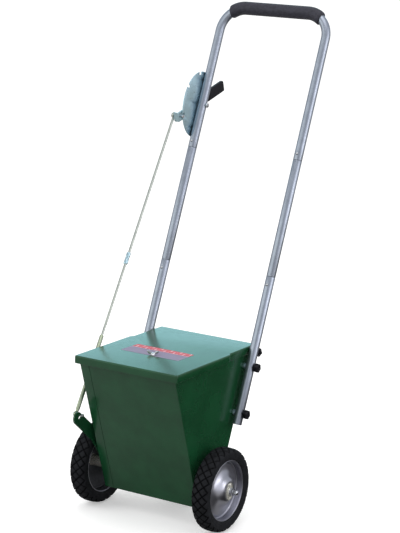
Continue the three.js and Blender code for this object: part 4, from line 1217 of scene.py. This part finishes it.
def build_card():
    # A black card that only reflections see keeps the right side of the hopper deep.
    card_mesh = bpy.data.meshes.new("black_card")
    card_mesh.from_pydata([(0.25, -0.3, 0), (1.5, -0.3, 0), (1.5, 2, 0), (0.25, 2, 0)], [], [(0, 1, 2, 3)])
    card = bpy.data.objects.new("black_card", card_mesh)
    bpy.context.scene.collection.objects.link(card)
    velvet, _, _ = new_finish("velvet_black", {"Base Color": (0.01, 0.01, 0.01, 1), "Roughness": 1.0,
                                               "Specular IOR Level": 0.0})
    card_mesh.materials.append(velvet)
    card.visible_camera = card.visible_diffuse = card.visible_shadow = False


def build_surround():
    # Reflections see a mid grey room with a low window in front on the left, a pale one on the right, and a
    # cool backdrop behind the object.
    world = bpy.data.worlds.new("studio_surround")
    bpy.context.scene.world = world
    world.use_nodes = True
    tree = world.node_tree
    tree.nodes.clear()
    place = add_node(tree, "ShaderNodeTexCoord")
    around = place.outputs["Generated"]
    height = add_node(tree, "ShaderNodeSeparateXYZ", {"Vector": around}).outputs["Z"]
    under = add_node(tree, "ShaderNodeMapRange", {"Value": height, "From Min": 0.56, "From Max": 0.44},
                     interpolation_type="SMOOTHSTEP").outputs["Result"]
    front_left = patch_of(tree, around, (-0.5, -0.87, 0.2), 30, 46)
    window = add_node(tree, "ShaderNodeMath", {0: front_left, 1: under}, operation="MULTIPLY")
    colour = mixed_colour(tree, window.outputs["Value"], (0.52, 0.55, 0.6, 1), (1.45, 1.52, 1.5, 1))
    on_the_right = patch_of(tree, around, (0.98, 0.03, 0.17), 26, 42)
    colour = mixed_colour(tree, on_the_right, colour, (1.3, 1.32, 1.42, 1))
    backdrop = patch_of(tree, around, (-0.52, 0.83, 0.21), 15, 27)
    colour = mixed_colour(tree, backdrop, colour, (0.84, 1.5, 1.66, 1))
    mirrored = add_node(tree, "ShaderNodeBackground", {"Color": colour, "Strength": 1.0})
    even = add_node(tree, "ShaderNodeBackground", {"Color": (1, 1, 1, 1), "Strength": 0.85})
    seen = add_node(tree, "ShaderNodeBackground", {"Color": (1, 1, 1, 1), "Strength": 1.0})
    path = add_node(tree, "ShaderNodeLightPath")
    lit = add_node(tree, "ShaderNodeMixShader", {
        "Fac": path.outputs["Is Glossy Ray"],
        1: even.outputs["Background"], 2: mirrored.outputs["Background"]})
    shown = add_node(tree, "ShaderNodeMixShader", {
        "Fac": path.outputs["Is Camera Ray"], 1: lit.outputs["Shader"], 2: seen.outputs["Background"]})
    add_node(tree, "ShaderNodeOutputWorld", {"Surface": shown.outputs["Shader"]})


def build_lights():
    key = add_light("key_softbox", (-2.6, -3.2, 3.4), (0, 0, 0.4), (3, 3), 66)
    key.visible_glossy = False                        # the low window stands in for it in reflections
    add_light("side_softbox", (3.2, 0.5, 1.0), (0, 0, 0.9), (0.8, 2.4), 15)
    add_light("overhead_softbox", (0.2, -0.2, 4.2), (0, 0, 0), (3, 3), 34)


def build_camera():
    lens = bpy.data.cameras.new("studio_camera")
    lens.sensor_width, lens.lens = 36, LENS
    lens.shift_x, lens.shift_y = SHIFT
    lens.clip_end = 200
    camera = bpy.data.objects.new("studio_camera", lens)
    bpy.context.scene.collection.objects.link(camera)
    azimuth, elevation, roll = (math.radians(a) for a in CAMERA_TURN)
    back = Vector((math.sin(azimuth) * math.cos(elevation), -math.cos(azimuth) * math.cos(elevation),
                   math.sin(elevation)))
    right = Vector((math.cos(azimuth), math.sin(azimuth), 0))
    up = back.cross(right)
    right, up = (right * math.cos(roll) + up * math.sin(roll), up * math.cos(roll) - right * math.sin(roll))
    camera.matrix_world = Matrix.Translation(CAMERA_AT) @ Matrix((right, up, back)).transposed().to_4x4()
    bpy.context.scene.camera = camera


def build_stage():
    bpy.context.scene.view_settings.view_transform = "Standard"
    build_floor()
    build_card()
    build_surround()
    build_lights()
    build_camera()


# ---------------------------------------------------------------- operators and panel
class MARKER_OT_hopper(bpy.types.Operator):
    """Build the folded hopper walls, the trough, the strap and the stand"""
    bl_idname = "marker.hopper"
    bl_label = "Hopper"

    def execute(self, context):
        build_hopper()
        return {"FINISHED"}


class MARKER_OT_lid(bpy.types.Operator):
    """Build the lid with its label and wing screw"""
    bl_idname = "marker.lid"
    bl_label = "Lid"

    def execute(self, context):
        build_lid()
        return {"FINISHED"}


class MARKER_OT_wheels(bpy.types.Operator):
    """Build the tyres, rims, hubs, axle nuts and bushes"""
    bl_idname = "marker.wheels"
    bl_label = "Wheels"

    def execute(self, context):
        build_wheels()
        return {"FINISHED"}


class MARKER_OT_axle(bpy.types.Operator):
    """Build the axle with its drive pin and agitator"""
    bl_idname = "marker.axle"
    bl_label = "Axle and Agitator"

    def execute(self, context):
        build_axle()
        return {"FINISHED"}


class MARKER_OT_handle(bpy.types.Operator):
    """Build the plug-together tubes, their snap buttons and the foam grip"""
    bl_idname = "marker.handle"
    bl_label = "Handle"

    def execute(self, context):
        build_tubes()
        build_grip()
        return {"FINISHED"}


class MARKER_OT_knobs(bpy.types.Operator):
    """Build the knobs, bolts and spacers that hold the handle"""
    bl_idname = "marker.knobs"
    bl_label = "Knobs and Bolts"

    def execute(self, context):
        build_knobs()
        return {"FINISHED"}


class MARKER_OT_quadrant(bpy.types.Operator):
    """Build the notched quadrant plate and the lever's pivot"""
    bl_idname = "marker.quadrant"
    bl_label = "Quadrant"

    def execute(self, context):
        build_quadrant()
        return {"FINISHED"}


class MARKER_OT_lever(bpy.types.Operator):
    """Build the hand lever with its grip, pin and clip"""
    bl_idname = "marker.lever"
    bl_label = "Hand Lever"

    def execute(self, context):
        build_lever()
        return {"FINISHED"}


class MARKER_OT_rod(bpy.types.Operator):
    """Build the two-part control rod with its coupling, pin and clip"""
    bl_idname = "marker.rod"
    bl_label = "Control Rod"

    def execute(self, context):
        build_rod()
        return {"FINISHED"}


class MARKER_OT_gate(bpy.types.Operator):
    """Finish the gate shutter and its arm"""
    bl_idname = "marker.gate"
    bl_label = "Gate"

    def execute(self, context):
        build_gate()
        return {"FINISHED"}


class MARKER_OT_stage(bpy.types.Operator):
    """Set up the floor, the surround, the lights and the camera"""
    bl_idname = "marker.stage"
    bl_label = "Studio Stage"

    def execute(self, context):
        build_stage()
        return {"FINISHED"}


STEPS = (MARKER_OT_hopper, MARKER_OT_lid, MARKER_OT_wheels, MARKER_OT_axle, MARKER_OT_handle, MARKER_OT_knobs,
         MARKER_OT_quadrant, MARKER_OT_lever, MARKER_OT_rod, MARKER_OT_gate, MARKER_OT_stage)


class MARKER_PT_panel(bpy.types.Panel):
    """Lists the sizes, the colours and the build steps"""
    bl_idname = "MARKER_PT_panel"
    bl_label = "Dry Line Marker"
    bl_space_type = "VIEW_3D"
    bl_region_type = "UI"
    bl_category = "Line Marker"

    def draw(self, context):
        for group in (context.scene.marker_sizes, context.scene.marker_colours):
            for name in group.__annotations__:
                self.layout.prop(group, name)
        for step in STEPS:
            self.layout.operator(step.bl_idname)


CLASSES = (MarkerSizes, MarkerColours, *STEPS, MARKER_PT_panel)


def register():
    for each in CLASSES:
        bpy.utils.register_class(each)
    bpy.types.Scene.marker_sizes = bpy.props.PointerProperty(type=MarkerSizes)
    bpy.types.Scene.marker_colours = bpy.props.PointerProperty(type=MarkerColours)


def unregister():
    del bpy.types.Scene.marker_colours
    del bpy.types.Scene.marker_sizes
    for each in reversed(CLASSES):
        bpy.utils.unregister_class(each)


def main():
    register()
    for step in STEPS:
        getattr(bpy.ops.marker, step.bl_idname.split(".")[1])()


if __name__ == "__main__":
    main()
